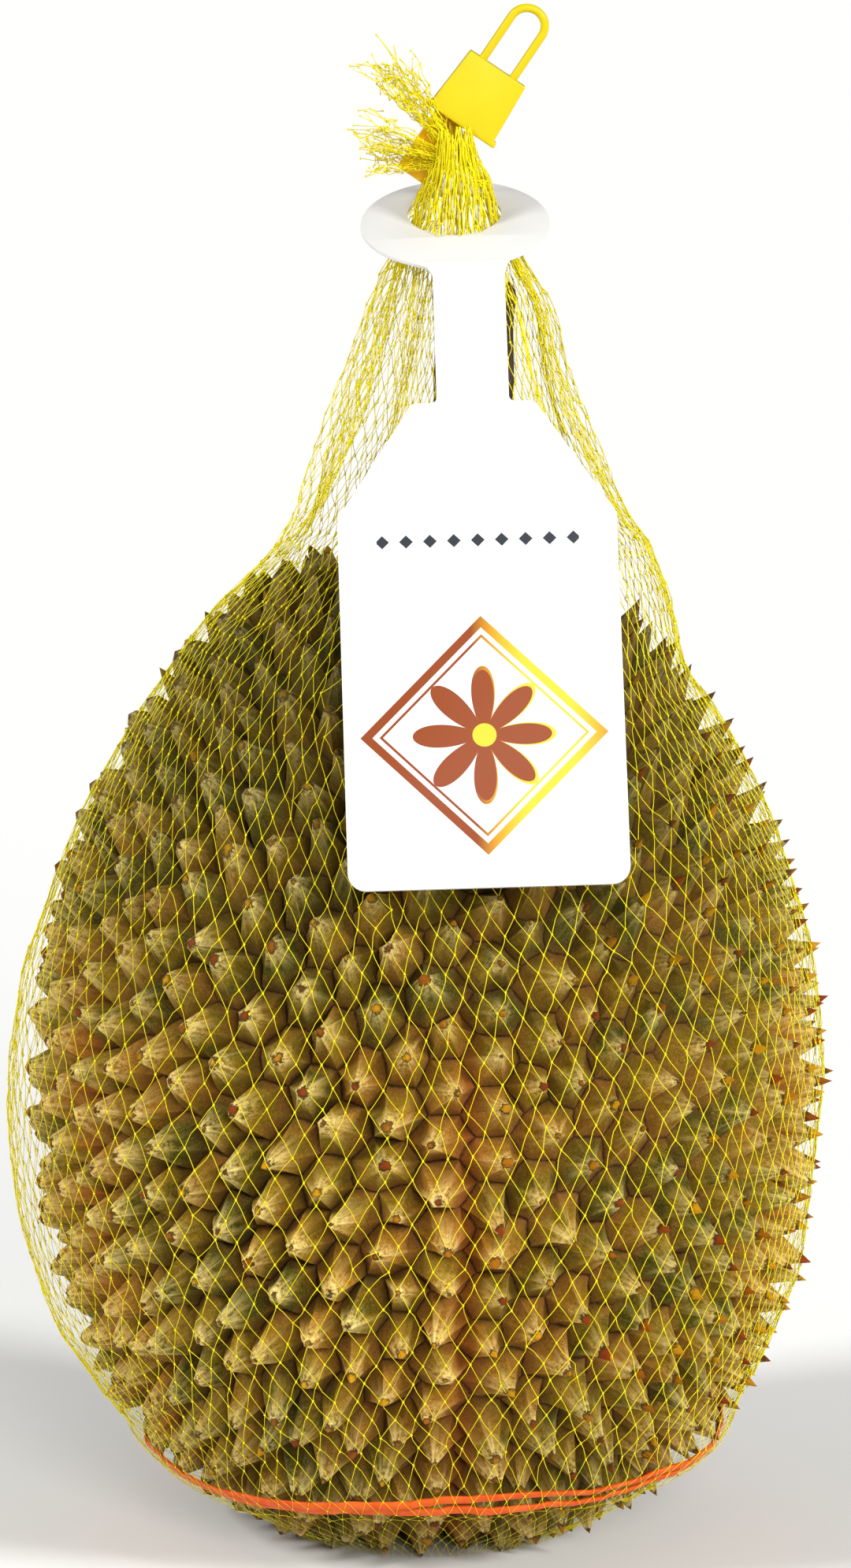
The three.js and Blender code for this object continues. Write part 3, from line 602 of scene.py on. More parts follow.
@dataclass(frozen=True)
class PrintedTagSheet:
    """Polypropylene sheet, calendered and die-cut: smooth white with a gold and brown printed rosette."""

    white: str = "#D8D8D6"
    gold: str = "#C88C0C"
    gold_light: str = "#E4C22A"
    brown: str = "#8A3E10"
    ink: str = "#2C3038"
    rosette_height_mm: float = 34.0
    rosette_mm: float = 15.5
    petal_waist: float = 0.28
    petals: float = 4.0
    petal_edge_mm: float = 0.9
    eye_mm: float = 2.6
    frame_half_mm: float = 25.5
    frame_step_mm: float = 3.2
    line_mm: float = 1.3
    row_height_mm: float = 78.0
    row_step_mm: float = 5.2
    row_half_mm: float = 22.0
    mark_mm: float = 1.5
    ripple_mm: float = 14.0
    bump_mm: float = 0.4

    def build(self) -> bpy.types.Material:
        """Builds the sheet and its print, drawn in the tag's own flat map in mm."""
        material, tree = new_material("polypropylene_sheet_calendered_printed")
        flat = add_node(tree, "UVMap", {"uv_map": "flat"})
        cell = add_node(tree, "SeparateXYZ", links={0: flat}).outputs
        across = add_node(tree, "Math", {"operation": "MULTIPLY", 1: FLAT_MAP_MM}, {0: cell[0]})
        across_size = add_node(tree, "Math", {"operation": "ABSOLUTE"}, {0: across})
        up, row_up = (
            add_node(tree, "Math", {"operation": "MULTIPLY_ADD", 1: FLAT_MAP_MM, 2: -height}, {0: cell[1]})
            for height in (self.rosette_height_mm, self.row_height_mm)
        )
        up_size, row_up_size = (
            add_node(tree, "Math", {"operation": "ABSOLUTE"}, {0: height}) for height in (up, row_up)
        )

        # A lozenge frame of two gold lines
        lozenge = add_node(tree, "Math", {"operation": "ADD"}, {0: across_size, 1: up_size})
        outer, inner = (
            add_node(tree, "Math", {"operation": "COMPARE", 1: half, 2: line}, {0: lozenge})
            for half, line in (
                (self.frame_half_mm, self.line_mm),
                (self.frame_half_mm - self.frame_step_mm, self.line_mm * 0.3),
            )
        )
        frame_on = add_node(tree, "Math", {"operation": "MAXIMUM"}, {0: outer, 1: inner})

        # A rosette of rounded petals, brown inside a gold edge
        spot = add_node(tree, "CombineXYZ", links={0: across, 1: up})
        reach = add_node(tree, "VectorMath", {"operation": "LENGTH"}, {0: spot})
        turn = add_node(tree, "Math", {"operation": "ARCTAN2"}, {0: up, 1: across})
        petal_turn = add_node(tree, "Math", {"operation": "MULTIPLY", 1: self.petals}, {0: turn})
        petal_wave = add_node(tree, "Math", {"operation": "COSINE"}, {0: petal_turn})
        petal_size = add_node(tree, "Math", {"operation": "ABSOLUTE"}, {0: petal_wave})
        waist = self.rosette_mm * self.petal_waist
        swell = {"operation": "MULTIPLY_ADD", 1: self.rosette_mm - waist, 2: waist}
        petal_edge = add_node(tree, "Math", swell, {0: petal_size})
        inside = add_node(tree, "Math", {"operation": "SUBTRACT"}, {0: petal_edge, 1: reach})
        petal_on, petal_core = (
            add_node(tree, "Math", {"operation": "GREATER_THAN", 1: edge}, {0: inside})
            for edge in (0.0, self.petal_edge_mm)
        )
        eye = add_node(tree, "Math", {"operation": "LESS_THAN", 1: self.eye_mm}, {0: reach})

        # A row of small lozenges above it
        row_cell = add_node(tree, "Math", {"operation": "PINGPONG", 1: self.row_step_mm / 2}, {0: across})
        row_lozenge = add_node(tree, "Math", {"operation": "ADD"}, {0: row_up_size, 1: row_cell})
        row_mark = add_node(tree, "Math", {"operation": "LESS_THAN", 1: self.mark_mm}, {0: row_lozenge})
        row_ends = add_node(tree, "Math", {"operation": "LESS_THAN", 1: self.row_half_mm}, {0: across_size})
        row_on = add_node(tree, "Math", {"operation": "MULTIPLY"}, {0: row_mark, 1: row_ends})

        # Gold drifts from light to dark across the print
        shine = add_node(tree, "Math", {"operation": "MULTIPLY_ADD", 1: 0.09, 2: 0.3}, {0: across})
        sweep = add_node(tree, "Math", {"operation": "SINE"}, {0: shine})
        gold_stops = [(0.1, linear(self.brown)), (0.45, linear(self.gold)), (0.9, linear(self.gold_light))]
        gold = add_node(tree, "ValToRGB", {"stops": gold_stops}, {0: sweep})
        ink = add_node(
            tree, "Mix", {"data_type": "RGBA", 6: linear(self.white)}, {0: frame_on, 7: gold}
        )
        ink = add_node(tree, "Mix", {"data_type": "RGBA"}, {0: petal_on, 6: ink, 7: gold})
        for amount, colour in ((petal_core, self.brown), (eye, self.gold_light), (row_on, self.ink)):
            ink = add_node(tree, "Mix", {"data_type": "RGBA", 7: linear(colour)}, {0: amount, 6: ink})

        # The print is on the front alone, and the sheet has a faint calendered ripple
        front = add_node(tree, "Attribute", {"attribute_name": "front"}).outputs["Fac"]
        printed = add_node(tree, "Mix", {"data_type": "RGBA", 6: linear(self.white)}, {0: front, 7: ink})
        place_in = add_node(tree, "TexCoord").outputs["Object"]
        ripple = add_node(
            tree, "TexNoise", {"Scale": 1 / (self.ripple_mm * MM), "Detail": 2.0}, {"Vector": place_in}
        )
        close_material(tree, {"Roughness": 0.36, "IOR": 1.49}, printed, ripple, 0.15, self.bump_mm)
        return material


@dataclass
class Husk:
    """The fruit: every spine of the frame's husk, rebuilt fine between the same tip and valleys."""

    node: str = "husk"
    levels: tuple = (0.0, 0.10, 0.22, 0.43, 0.71, 1.0)
    steps_per_side: int = 3
    hollow: float = 1.45
    ridge: float = 0.12
    tip_stretch: float = 1.09
    tip_lean_mm: float = 1.3
    left_lean_mm: float = 1.0
    valley_drop_mm: float = 0.2
    valley_dip_mm: float = 0.5
    wobble_mm: float = 0.75
    lump_mm: float = 0.3
    lump_spacing_mm: float = 2.6
    least_height_mm: float = 3.2
    cork: tuple = ((TipKind.SHARP, 0.17), (TipKind.ROUNDED, 0.12), (TipKind.BLUNT, 0.07))
    worn: tuple = ((TipKind.SHARP, 0.02), (TipKind.ROUNDED, 0.06), (TipKind.BLUNT, 0.15))
    sharp_hollow: float = 1.57
    blunt_hollow: float = 1.05
    seam_width_mm: float = 2.6
    warm_width_mm: float = 20.0
    seam_fade_mm: tuple = (105.0, 150.0)
    seed: int = 11

    def __post_init__(self) -> None:
        """Sets up what the net and the band read from the husk later."""
        self.tips: list[Vector] = []
        self.hull: BVHTree | None = None

    def merged_frame_mesh(self) -> bmesh.types.BMesh:
        """Copies the frame's husk with its loose triangles joined.

        Returns:
            The joined mesh.
        """
        mesh = bmesh.new()
        mesh.from_mesh(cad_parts[self.node].data)
        bmesh.ops.remove_doubles(mesh, verts=mesh.verts, dist=0.01 * MM)
        mesh.verts.ensure_lookup_table()
        mesh.faces.ensure_lookup_table()
        return mesh

    def corner_ring(self, vertex: bmesh.types.BMVert) -> list[int] | None:
        """Finds the valley corners round a spine's tip, in order.

        Args:
            vertex: A point that may be a tip.

        Returns:
            The numbers of its corners anticlockwise from outside, or None if it is no tip.
        """
        following = {}
        for face in vertex.link_faces:
            numbers = [corner.index for corner in face.verts]
            place_of = numbers.index(vertex.index)
            following[numbers[(place_of + 1) % 3]] = numbers[(place_of + 2) % 3]
        if not 4 <= len(following) <= 11:
            return None
        ring = [next(iter(following))]
        while following.get(ring[-1]) not in (None, ring[0]):
            ring.append(following[ring[-1]])
        if len(ring) != len(following):
            return None
        return ring

    def find_spines(self, mesh: bmesh.types.BMesh) -> dict[int, list[int]]:
        """Finds every whole spine.

        Args:
            mesh: The joined frame mesh.

        Returns:
            The ring of corners for each tip.
        """
        spines = {}
        taken = set()
        heights = []
        for vertex in mesh.verts:
            ring = self.corner_ring(vertex)
            if ring is None:
                continue
            corners = [mesh.verts[number].co for number in ring]
            middle = sum(corners, Vector()) / len(corners)
            lean = sum((a.cross(b) for a, b in zip(corners, corners[1:] + corners[:1])), Vector())
            height = (vertex.co - middle).dot(lean.normalized())
            if height > self.least_height_mm * MM:
                heights.append((height, vertex.index, ring))
        for _, tip, ring in sorted(heights, reverse=True):
            if tip not in taken:
                spines[tip] = ring
                taken.update(ring)
        return spines

    def tip_kind(self, tip: Vector, draw: float) -> TipKind:
        """Chooses how worn a tip is. The side at the left and low down is the blunter one.

        Args:
            tip: Where the tip is.
            draw: A random number from 0 to 1.

        Returns:
            The kind of tip.
        """
        side = tip.x / FRUIT_RADIUS + 0.35 * (tip.z / FRUIT_HEIGHT - 0.5) + 0.7 * (draw - 0.5)
        if side < -0.25:
            return TipKind.BLUNT
        if side > 0.3:
            return TipKind.SHARP
        return TipKind.ROUNDED

    def side_points(self, start: Vector, end: Vector) -> list[Vector]:
        """Places points along a valley between two corners, dipped a little at its middle.

        Args:
            start: One corner.
            end: The other corner.

        Returns:
            The points between them.
        """
        points = []
        for step in range(1, self.steps_per_side):
            point = start.lerp(end, step / self.steps_per_side)
            wobble = 0.5 + noise.noise(point / (4 * MM))
            point += noise.noise_vector(point / (5 * MM)) * (self.wobble_mm * MM)
            points.append(point + self.inward(point) * (self.valley_dip_mm * MM * wobble))
        return points

    def inward(self, point: Vector) -> Vector:
        """Gives the direction from a point to the heart of the fruit."""
        return (Vector((0, 0, HEART_HEIGHT)) - point).normalized()

    def lean_tips(
        self, points: list[Vector], spines: dict[int, list[int]], random: np.random.Generator
    ) -> None:
        """Draws the tips out and to one side, and the valleys in, so that the spines stand tall.

        Args:
            points: All points, changed in place.
            spines: The ring of corners for each tip.
            random: The seeded source.
        """
        valley = {number for ring in spines.values() for number in ring}
        for number in sorted(valley):
            point = points[number]
            if point.z > 1.5 * MM:
                point += noise.noise_vector(point / (6 * MM)) * (self.wobble_mm * MM)
                point += self.inward(point) * (self.valley_drop_mm * MM)
        for tip, ring in spines.items():
            middle = sum((points[number] for number in ring), Vector()) / len(ring)
            rise = points[tip] - middle
            east = Vector((-points[tip].y, points[tip].x, 0)).normalized()
            up = rise.cross(east).normalized() * -1
            away = -math.sin(math.atan2(points[tip].y, points[tip].x) - FRONT_SUTURE_ANGLE)
            draws = random.normal(0, self.tip_lean_mm, 2)
            draws[0] -= self.left_lean_mm * max(0.0, away)
            points[tip] = middle + rise * self.tip_stretch + (east * draws[0] + up * draws[1]) * MM

    def build(self) -> bpy.types.Object:
        """Builds the husk and keeps its tips and its tight hull for the net.

        Returns:
            The husk piece.
        """
        mesh = self.merged_frame_mesh()
        spines = self.find_spines(mesh)
        random = np.random.default_rng(self.seed)

        # Without a seed the vector noise follows the clock, and the valleys would move from run to run
        noise.seed_set(self.seed)
        points = [vertex.co.copy() for vertex in mesh.verts]
        base = len(points)
        self.lean_tips(points, spines, random)
        side_of = {}

        def side(a: int, b: int) -> list[int]:
            """Gives the point numbers along the valley from corner a to corner b."""
            key = (min(a, b), max(a, b))
            if key not in side_of:
                fresh = self.side_points(points[key[0]], points[key[1]])
                side_of[key] = list(range(len(points), len(points) + len(fresh)))
                points.extend(fresh)
            return side_of[key] if a < b else side_of[key][::-1]

        faces, spine_map, tone_map, wear_map = [], [], [], []

        def add_face(numbers: list[int], places: list[tuple], tone: tuple, wear: tuple) -> None:
            """Adds a face with its place on the spine, and the spine's own tone and wear."""
            faces.append(numbers)
            spine_map.extend(places)
            tone_map.extend([tone] * len(numbers))
            wear_map.extend([wear] * len(numbers))

        used_faces = set()
        for tip, ring in spines.items():
            used_faces.update(face.index for face in mesh.verts[tip].link_faces)
            rim = []
            for a, b in zip(ring, ring[1:] + ring[:1]):
                rim.append(a)
                rim.extend(side(a, b))
            draws = random.random(3)
            tone = (float(draws[0]), float(draws[1]))
            kind = self.tip_kind(points[tip], float(draws[2]))
            wear = (dict(self.cork)[kind] * float(random.uniform(0.3, 1.25)), float(draws[2]))
            self.tips.append(points[tip].copy())
            rows = self.spine_rows(points, tip, rim, kind)
            numbers = [[tip] * len(rim)]
            for row in rows:
                numbers.append(list(range(len(points), len(points) + len(row))))
                points.extend(row)
            numbers.append(rim)
            count = len(rim)
            for level in range(len(numbers) - 1):
                high, low = self.levels[level], self.levels[level + 1]
                for index in range(count):
                    after = (index + 1) % count
                    u0, u1 = index / count, (index + 1) / count
                    if level == 0:
                        fan = [tip, numbers[1][index], numbers[1][after]]
                        add_face(fan, [((u0 + u1) / 2, high), (u0, low), (u1, low)], tone, wear)
                        continue
                    quad = [numbers[level][index], numbers[level + 1][index]]
                    quad += [numbers[level + 1][after], numbers[level][after]]
                    add_face(quad, [(u0, high), (u0, low), (u1, low), (u1, high)], tone, wear)
        for face in mesh.faces:
            if face.index in used_faces:
                continue
            numbers = []
            corners = [corner.index for corner in face.verts]
            for a, b in zip(corners, corners[1:] + corners[:1]):
                numbers.append(a)
                if (min(a, b), max(a, b)) in side_of:
                    numbers.extend(side(a, b))
            add_face(numbers, [(0.5, 0.7)] * len(numbers), (0.5, 0.5), (0.0, 0.5))
        LOG.info("husk: %d whole spines, %d frame points, %d in all", len(spines), base, len(points))
        mesh.free()
        lifted = [Vector((p.x, p.y, max(p.z, FLOOR_LIFT))) for p in points]
        piece = mesh_piece("husk_spines", lifted, faces)
        self.write_maps(piece, {"spine": spine_map, "tone": tone_map, "wear": wear_map})
        self.drop_loose_points(piece)
        self.hull = self.tight_hull(lifted)
        return piece

    def spine_rows(
        self, points: list[Vector], tip: int, rim: list[int], kind: TipKind
    ) -> list[list[Vector]]:
        """Shapes one spine between its tip and its rim.

        Args:
            points: All points so far.
            tip: The tip's number.
            rim: The numbers of the points round its base.
            kind: How worn the tip is.

        Returns:
            One row of points for each level between the tip and the rim.
        """
        base = [points[number] for number in rim]
        middle = sum(base, Vector()) / len(base)
        rise = points[tip] - middle
        mean_reach = sum((point - middle).length for point in base) / len(base)
        worn = dict(self.worn)[kind]
        hollow = {TipKind.SHARP: self.sharp_hollow, TipKind.BLUNT: self.blunt_hollow}.get(kind, self.hollow)
        points[tip] = middle + rise * (1 - 0.4 * worn)
        rows = []
        for level in self.levels[1:-1]:
            height = (1 - level) ** hollow * (1 - 0.25 * worn)
            width = level + worn * (1 - level) * 1.1
            row = []
            flank = math.sin(math.pi * level)
            for index, point in enumerate(base):
                out = point - middle
                even = 0.4 + 0.6 * mean_reach / out.length
                fold = math.cos(2 * math.pi * index / self.steps_per_side)
                ridge = 1 + self.ridge * fold * flank
                reach = width * (1 + (even - 1) * (1 - level) ** 1.5) * ridge
                place_at = middle + out * reach + rise * height
                lump = noise.noise(place_at / (self.lump_spacing_mm * MM)) * self.lump_mm * MM * flank**0.5
                row.append(place_at + out.normalized() * lump)
            rows.append(row)
        return rows

    def write_maps(self, piece: bpy.types.Object, maps: dict[str, list]) -> None:
        """Stores each spine's own coordinates and how near each point is to a seam.

        Args:
            piece: The husk piece.
            maps: Pairs of values for each face corner, by the map's name: the turn round the spine and
                the share of the way down, the spine's two random tones, and how far its cork reaches.
        """
        for name, values in maps.items():
            layer = piece.data.uv_layers.new(name=name)
            layer.data.foreach_set("uv", np.array(values, dtype=np.float32).ravel())
        places = np.array([vertex.co for vertex in piece.data.vertices])
        pitch = 2 * math.pi / SUTURES
        turns = (np.arctan2(places[:, 1], places[:, 0]) - FRONT_SUTURE_ANGLE) / pitch
        offset = np.abs(turns - np.round(turns)) * pitch * np.hypot(places[:, 0], places[:, 1])
        near = np.exp(-((offset / (self.seam_width_mm * MM)) ** 2))
        broad = np.exp(-((offset / (self.warm_width_mm * MM)) ** 2))
        low = 1 - smoothstep(self.seam_fade_mm[0] * MM, self.seam_fade_mm[1] * MM, places[:, 2])
        for name, values in (("seam", near * low), ("warm", broad * low)):
            attribute = piece.data.attributes.new(name, "FLOAT", "POINT")
            attribute.data.foreach_set("value", values.astype(np.float32))

    def drop_loose_points(self, piece: bpy.types.Object) -> None:
        """Removes the points that no face uses."""
        take(piece)
        bpy.ops.object.mode_set(mode="EDIT")
        bpy.ops.mesh.select_all(action="SELECT")
        bpy.ops.mesh.delete_loose()
        bpy.ops.object.mode_set(mode="OBJECT")

    def tight_hull(self, points: list[Vector]) -> BVHTree:
        """Wraps the tips in the tight skin that a stretched net would follow.

        Args:
            points: The husk's points.

        Returns:
            A search tree over the hull.
        """
        wrap = bmesh.new()
        for point in self.tips + [p for p in points if p.z <= FLOOR_LIFT]:
            wrap.verts.new(point)
        hull = bmesh.ops.convex_hull(wrap, input=wrap.verts)
        inside = [item for item in hull["geom_interior"] if isinstance(item, bmesh.types.BMVert)]
        bmesh.ops.delete(wrap, geom=inside, context="VERTS")
        bmesh.ops.recalc_face_normals(wrap, faces=wrap.faces)
        tree = BVHTree.FromBMesh(wrap)
        wrap.free()
        return tree

    def dress(self, piece: bpy.types.Object) -> None:
        """Gives the husk its finish and hides the frame's plain one."""
        finish_piece(piece, VelvetHusk().build(), angle=48)
        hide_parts(self.node)


@dataclass
class NetBag:
    """The net: diamond netting stretched over the husk, loose at the left, gathered into a neck."""

    columns: int = 102
    bag_rows: int = 60
    neck_rows: int = 24
    twist: float = -0.34
    strand_mm: float = 0.11
    knot_mm: float = 0.3
    foot_thinning: float = 0.45
    drift_turn: float = 0.035
    drift_climb_mm: float = 1.3
    loose_bulge_mm: float = 3.6
    loose_height_mm: float = 88.0
    loose_reach_mm: float = 46.0
    gather_mm: tuple = (214.0, 262.0)
    fold_count: int = 9
    fold_depth: float = 0.15
    bundle_mm: tuple = (276.0, 294.0)
    bundle_spread: float = 0.14
    bundle_climb_mm: float = 2.8
    bundle_from_mm: float = 284.6
    bundle_strand: float = 1.45
    bundle_knot: float = 0.7
    depth_mm: float = 2.2
    tip_clear_mm: float = 1.6
    slip_rounds: int = 4
    over_band_mm: float = 0.4
    jitter_mm: float = 0.32
    bow_mm: float = 0.2
    seed: int = 5

    # Radius and height in mm, and the centre's X and Y, from the foot to where the net leaves the fruit
    bag_outline: tuple = (
        (5, 0.35, 0, 0), (18, 0.35, 0, 0), (32, 0.5, 0, 0), (41, 2.2, 0, 0), (51, 6.8, 0, 0),
        (63, 16.2, 0, 0), (73, 28.5, 0, 0), (80.5, 42, 0, 0), (86.5, 58, 0, 0), (90, 76, 0, 0),
        (91.6, 93, 0, 0), (91.7, 109, 0, 0), (90.2, 127, 0, 0), (86.6, 145, 0, 0), (81, 161.5, 0, 0),
        (74, 176, 0.2, 0), (66.5, 189.5, 0.8, 0), (58.5, 202, 2.0, 0), (49, 213.5, 4.6, 0),
        (41.5, 224, 7.8, 0),
    )
    neck_outline: tuple = (
        (41.5, 224, 7.8, 0), (35.5, 233, 7.5, 0), (28.5, 248.4, 7.1, 0), (22.3, 264.7, 6.9, 0),
        (18.9, 277.4, 7.3, 0), (16.2, 284.5, 6.8, 0), (14.0, 290, 6.2, 0), (10.6, 295.5, 5.9, 0),
        (9.4, 300, 5.9, 0), (7.9, 304, 6.1, -0.8), (5.9, 308, 6.1, -2.4), (4.3, 312, 5.9, -3.8),
        (3.5, 316, 5.7, -4.4),
    )

    def lattice(self, husk: Husk, band: "RubberBand") -> np.ndarray:
        """Places every knot of the bag and the neck.

        Args:
            husk: The dressed fruit, which the net lies on.
            band: The band, which the net passes over.

        Returns:
            Knots by row and column, in metres.
        """
        random = np.random.default_rng(self.seed)
        bag = Outline(self.bag_outline)
        neck = Outline(self.neck_outline)
        bag_rows = bag.at(np.linspace(0, 1, self.bag_rows))
        neck_rows = neck.at(np.linspace(0, 1, self.neck_rows + 1)[1:])
        rows = np.vstack([bag_rows, neck_rows])
        travel = np.concatenate([[0], np.cumsum(np.linalg.norm(np.diff(rows[:, :2], axis=0), axis=1))])
        count = len(rows)
        shift = (np.arange(count) % 2) / 2
        angle = (np.arange(self.columns)[None, :] + shift[:, None]) / self.columns * 2 * math.pi
        angle = angle + self.twist * (travel / travel[-1])[:, None]
        drift = self.slow_drift(random, count)
        angle = angle + drift[0] * np.minimum(1, rows[:, :1] / 60) * self.drift_turn
        radius = rows[:, :1] + 0 * angle
        height = rows[:, 1:2] + drift[1] * self.drift_climb_mm * np.clip((rows[:, 1:2] - 10) / 60, 0, 1)
        slack = np.clip(-np.cos(angle), 0, 1) ** 1.6
        off_middle = (height - self.loose_height_mm) / self.loose_reach_mm
        bulge = self.loose_bulge_mm * slack * np.exp(-(off_middle**2))
        radius = radius + bulge
        let_go = 0.75 * smoothstep(284, 298, rows[:, 1:2])
        gathered = smoothstep(*self.gather_mm, rows[:, 1:2]) * (1 - let_go)
        folds = np.cos(self.fold_count * angle + 2.2 * np.sin(2 * angle + 0.7) + rows[:, 1:2] / 26)
        left = 0.6 + 0.5 * np.clip(-np.cos(angle), 0, 1)
        radius = radius * (1 + self.fold_depth * gathered * folds * left)
        bundled = smoothstep(*self.bundle_mm, rows[:, 1:2])
        radius = radius * (1 - bundled * random.uniform(0, self.bundle_spread, angle.shape))
        climb = random.uniform(-self.bundle_climb_mm, self.bundle_climb_mm, angle.shape)
        height = height + bundled * climb
        places = np.stack(
            [rows[:, 2:3] + radius * np.cos(angle), rows[:, 3:4] + radius * np.sin(angle), height], axis=-1
        )
        places += random.normal(0, self.jitter_mm / 2, places.shape) * smoothstep(4, 20, height)[..., None]
        places *= MM
        loose = np.clip(bulge / 1.5, 0, 1) + smoothstep(196, 216, height)
        over = 1 - smoothstep(4, 8, np.abs(height - band.centre_height_mm(angle)))
        depth = self.depth_mm * (1 - over) - self.over_band_mm * over
        return self.settle(places, np.clip(loose, 0, 1), depth, husk)

    def slow_drift(self, random: np.random.Generator, count: int) -> np.ndarray:
        """Draws two smooth fields that pull the diamonds a little out of line.

        Args:
            random: The seeded source.
            count: The number of rows.

        Returns:
            Two fields of rows by columns, within about 1.
        """
        turn = np.arange(self.columns)[None, :] / self.columns * 2 * math.pi
        climb = np.arange(count)[:, None] / count * 2 * math.pi
        fields = []
        for _ in range(2):
            field = np.zeros((count, self.columns))
            for _ in range(6):
                waves = random.integers(1, 6, 2)
                phase = random.uniform(0, 2 * math.pi)
                field += np.sin(waves[0] * turn + waves[1] * 0.7 * climb + phase) / 3.5
            fields.append(field)
        return np.array(fields)

    def settle(self, places: np.ndarray, loose: np.ndarray, depth: np.ndarray, husk: Husk) -> np.ndarray:
        """Draws the tight part of the net on to the spines, a little below their tips.

        Args:
            places: The knots before they settle.
            loose: How loose each knot is, from 0 to 1.
            depth: How far below the tips each knot lies, in mm.
            husk: The fruit.

        Returns:
            The settled knots.
        """
        settled = places.copy()
        rows, columns = loose.shape
        for row in range(rows):
            for column in range(columns):
                if loose[row, column] >= 1 or places[row, column, 2] < 1.5 * MM:
                    continue
                point = Vector(places[row, column])
                near, normal, _, _ = husk.hull.find_nearest(point)
                tight = near - normal * (float(depth[row, column]) * MM)
                settled[row, column] = tight.lerp(point, float(loose[row, column]))
        settled[:, :, 2] = np.maximum(settled[:, :, 2], 0.32 * MM)
        return settled

    def links(self, first: int, last: int) -> tuple[np.ndarray, np.ndarray]:
        """Lists the strands between two rows, as numbers of knots.

        Args:
            first: The lowest row.
            last: The highest row.

        Returns:
            The lower and the upper knot of each strand.
        """
        column = np.arange(self.columns)
        low, high = [], []
        for row in range(first, last):
            step = row % 2
            for east in (step, step - 1):
                low.append(row * self.columns + column)
                high.append((row + 1) * self.columns + (column + east) % self.columns)
        return np.concatenate(low), np.concatenate(high)

    def slip_off_tips(self, knots: np.ndarray, low: np.ndarray, high: np.ndarray, husk: Husk) -> np.ndarray:
        """Slides strands that lie across a spine's tip to one side of it, so that the tip pokes through.

        Args:
            knots: All knots as a list, changed in place.
            low: The lower knot of each strand.
            high: The upper knot of each strand.
            husk: The fruit.

        Returns:
            Two points along each strand, moved off the tips as well.
        """
        finder = kdtree.KDTree(len(husk.tips))
        for index, tip in enumerate(husk.tips):
            finder.insert(tip, index)
        finder.balance()
        clear = self.tip_clear_mm * MM
        along = np.zeros((len(low), 2, 3))
        for _ in range(self.slip_rounds):
            push = np.zeros_like(knots)
            weight = np.full(len(knots), 1e-6)
            for slot, share in enumerate((1 / 3, 2 / 3)):
                spots = knots[low] * (1 - share) + knots[high] * share
                along[:, slot] = spots
                for strand in range(len(low)):
                    spot = Vector(spots[strand])
                    if not 3 * MM <= spot.z <= 222 * MM:
                        continue
                    tip, _, away = finder.find(spot)
                    if away > clear + self.depth_mm * 1.6 * MM:
                        continue
                    outward = Vector((tip.x, tip.y, 0.6 * (tip.z - HEART_HEIGHT))).normalized()
                    side = spot - tip
                    side -= outward * side.dot(outward)
                    gap = side.length
                    if gap >= clear:
                        continue
                    move = np.array(side / max(gap, 1e-5) * (clear - gap))
                    along[strand, slot] += move
                    for knot, part in ((low[strand], 1 - share), (high[strand], share)):
                        push[knot] += move * part
                        weight[knot] += part * part
            knots += 0.6 * push / np.maximum(weight, 0.35)[:, None]
        return along

    def build(self, husk: Husk, band: "RubberBand") -> list[bpy.types.Object]:
        """Builds the netting in three pieces below the ring and one above it.

        Args:
            husk: The fruit that the net lies on.
            band: The band under the net.

        Returns:
            The lower, middle and upper net, and the bundle.
        """
        grid = self.lattice(husk, band)
        rows = len(grid)
        heights = grid[:, :, 2].mean(axis=1)
        third = self.bag_rows * 2 // 5
        cut = int(np.nonzero(heights > self.bundle_from_mm * MM)[0][0])
        knots = grid.reshape(-1, 3)
        low, high = self.links(0, rows - 1)
        along = self.slip_off_tips(knots, low, high, husk)
        random = np.random.default_rng(self.seed + 1)
        bow = random.normal(0, self.bow_mm * MM, (len(low), 1, 3))
        along += bow * np.array([0.6, 1.0])[None, :, None] * smoothstep(4 * MM, 20 * MM, along[:, :, 2:])
        pieces = []
        full = smoothstep(10 * MM, 36 * MM, knots[:, 2])
        thin = self.foot_thinning + (1 - self.foot_thinning) * full
        bands = [("net_lower", 0, third), ("net_middle", third, 2 * third), ("net_upper", 2 * third, cut)]
        for name, first, last in bands + [("net_bundle", cut, rows - 1)]:
            inside = (low >= first * self.columns) & (low < last * self.columns)
            beads = np.arange(first * self.columns, (last + 1) * self.columns)
            chosen = [knots[low[inside]], along[inside, 0], along[inside, 1], knots[high[inside]]]
            scales = (self.bundle_strand, self.bundle_knot) if name == "net_bundle" else (1.0, 1.0)
            strand = self.strand_mm * scales[0] * thin[low[inside]]
            knot = self.knot_mm * scales[1] * thin[beads]
            pieces.append(tube_piece(name, chosen, strand, knots[beads], knot))
        return pieces

    def dress(self, pieces: list[bpy.types.Object], material: bpy.types.Material) -> None:
        """Gives the netting its finish and hides the frame's coarse net."""
        for piece in pieces:
            finish_piece(piece, material, angle=180)
        for piece in pieces[:-1]:
            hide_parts("net_bag")
        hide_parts("net_neck")


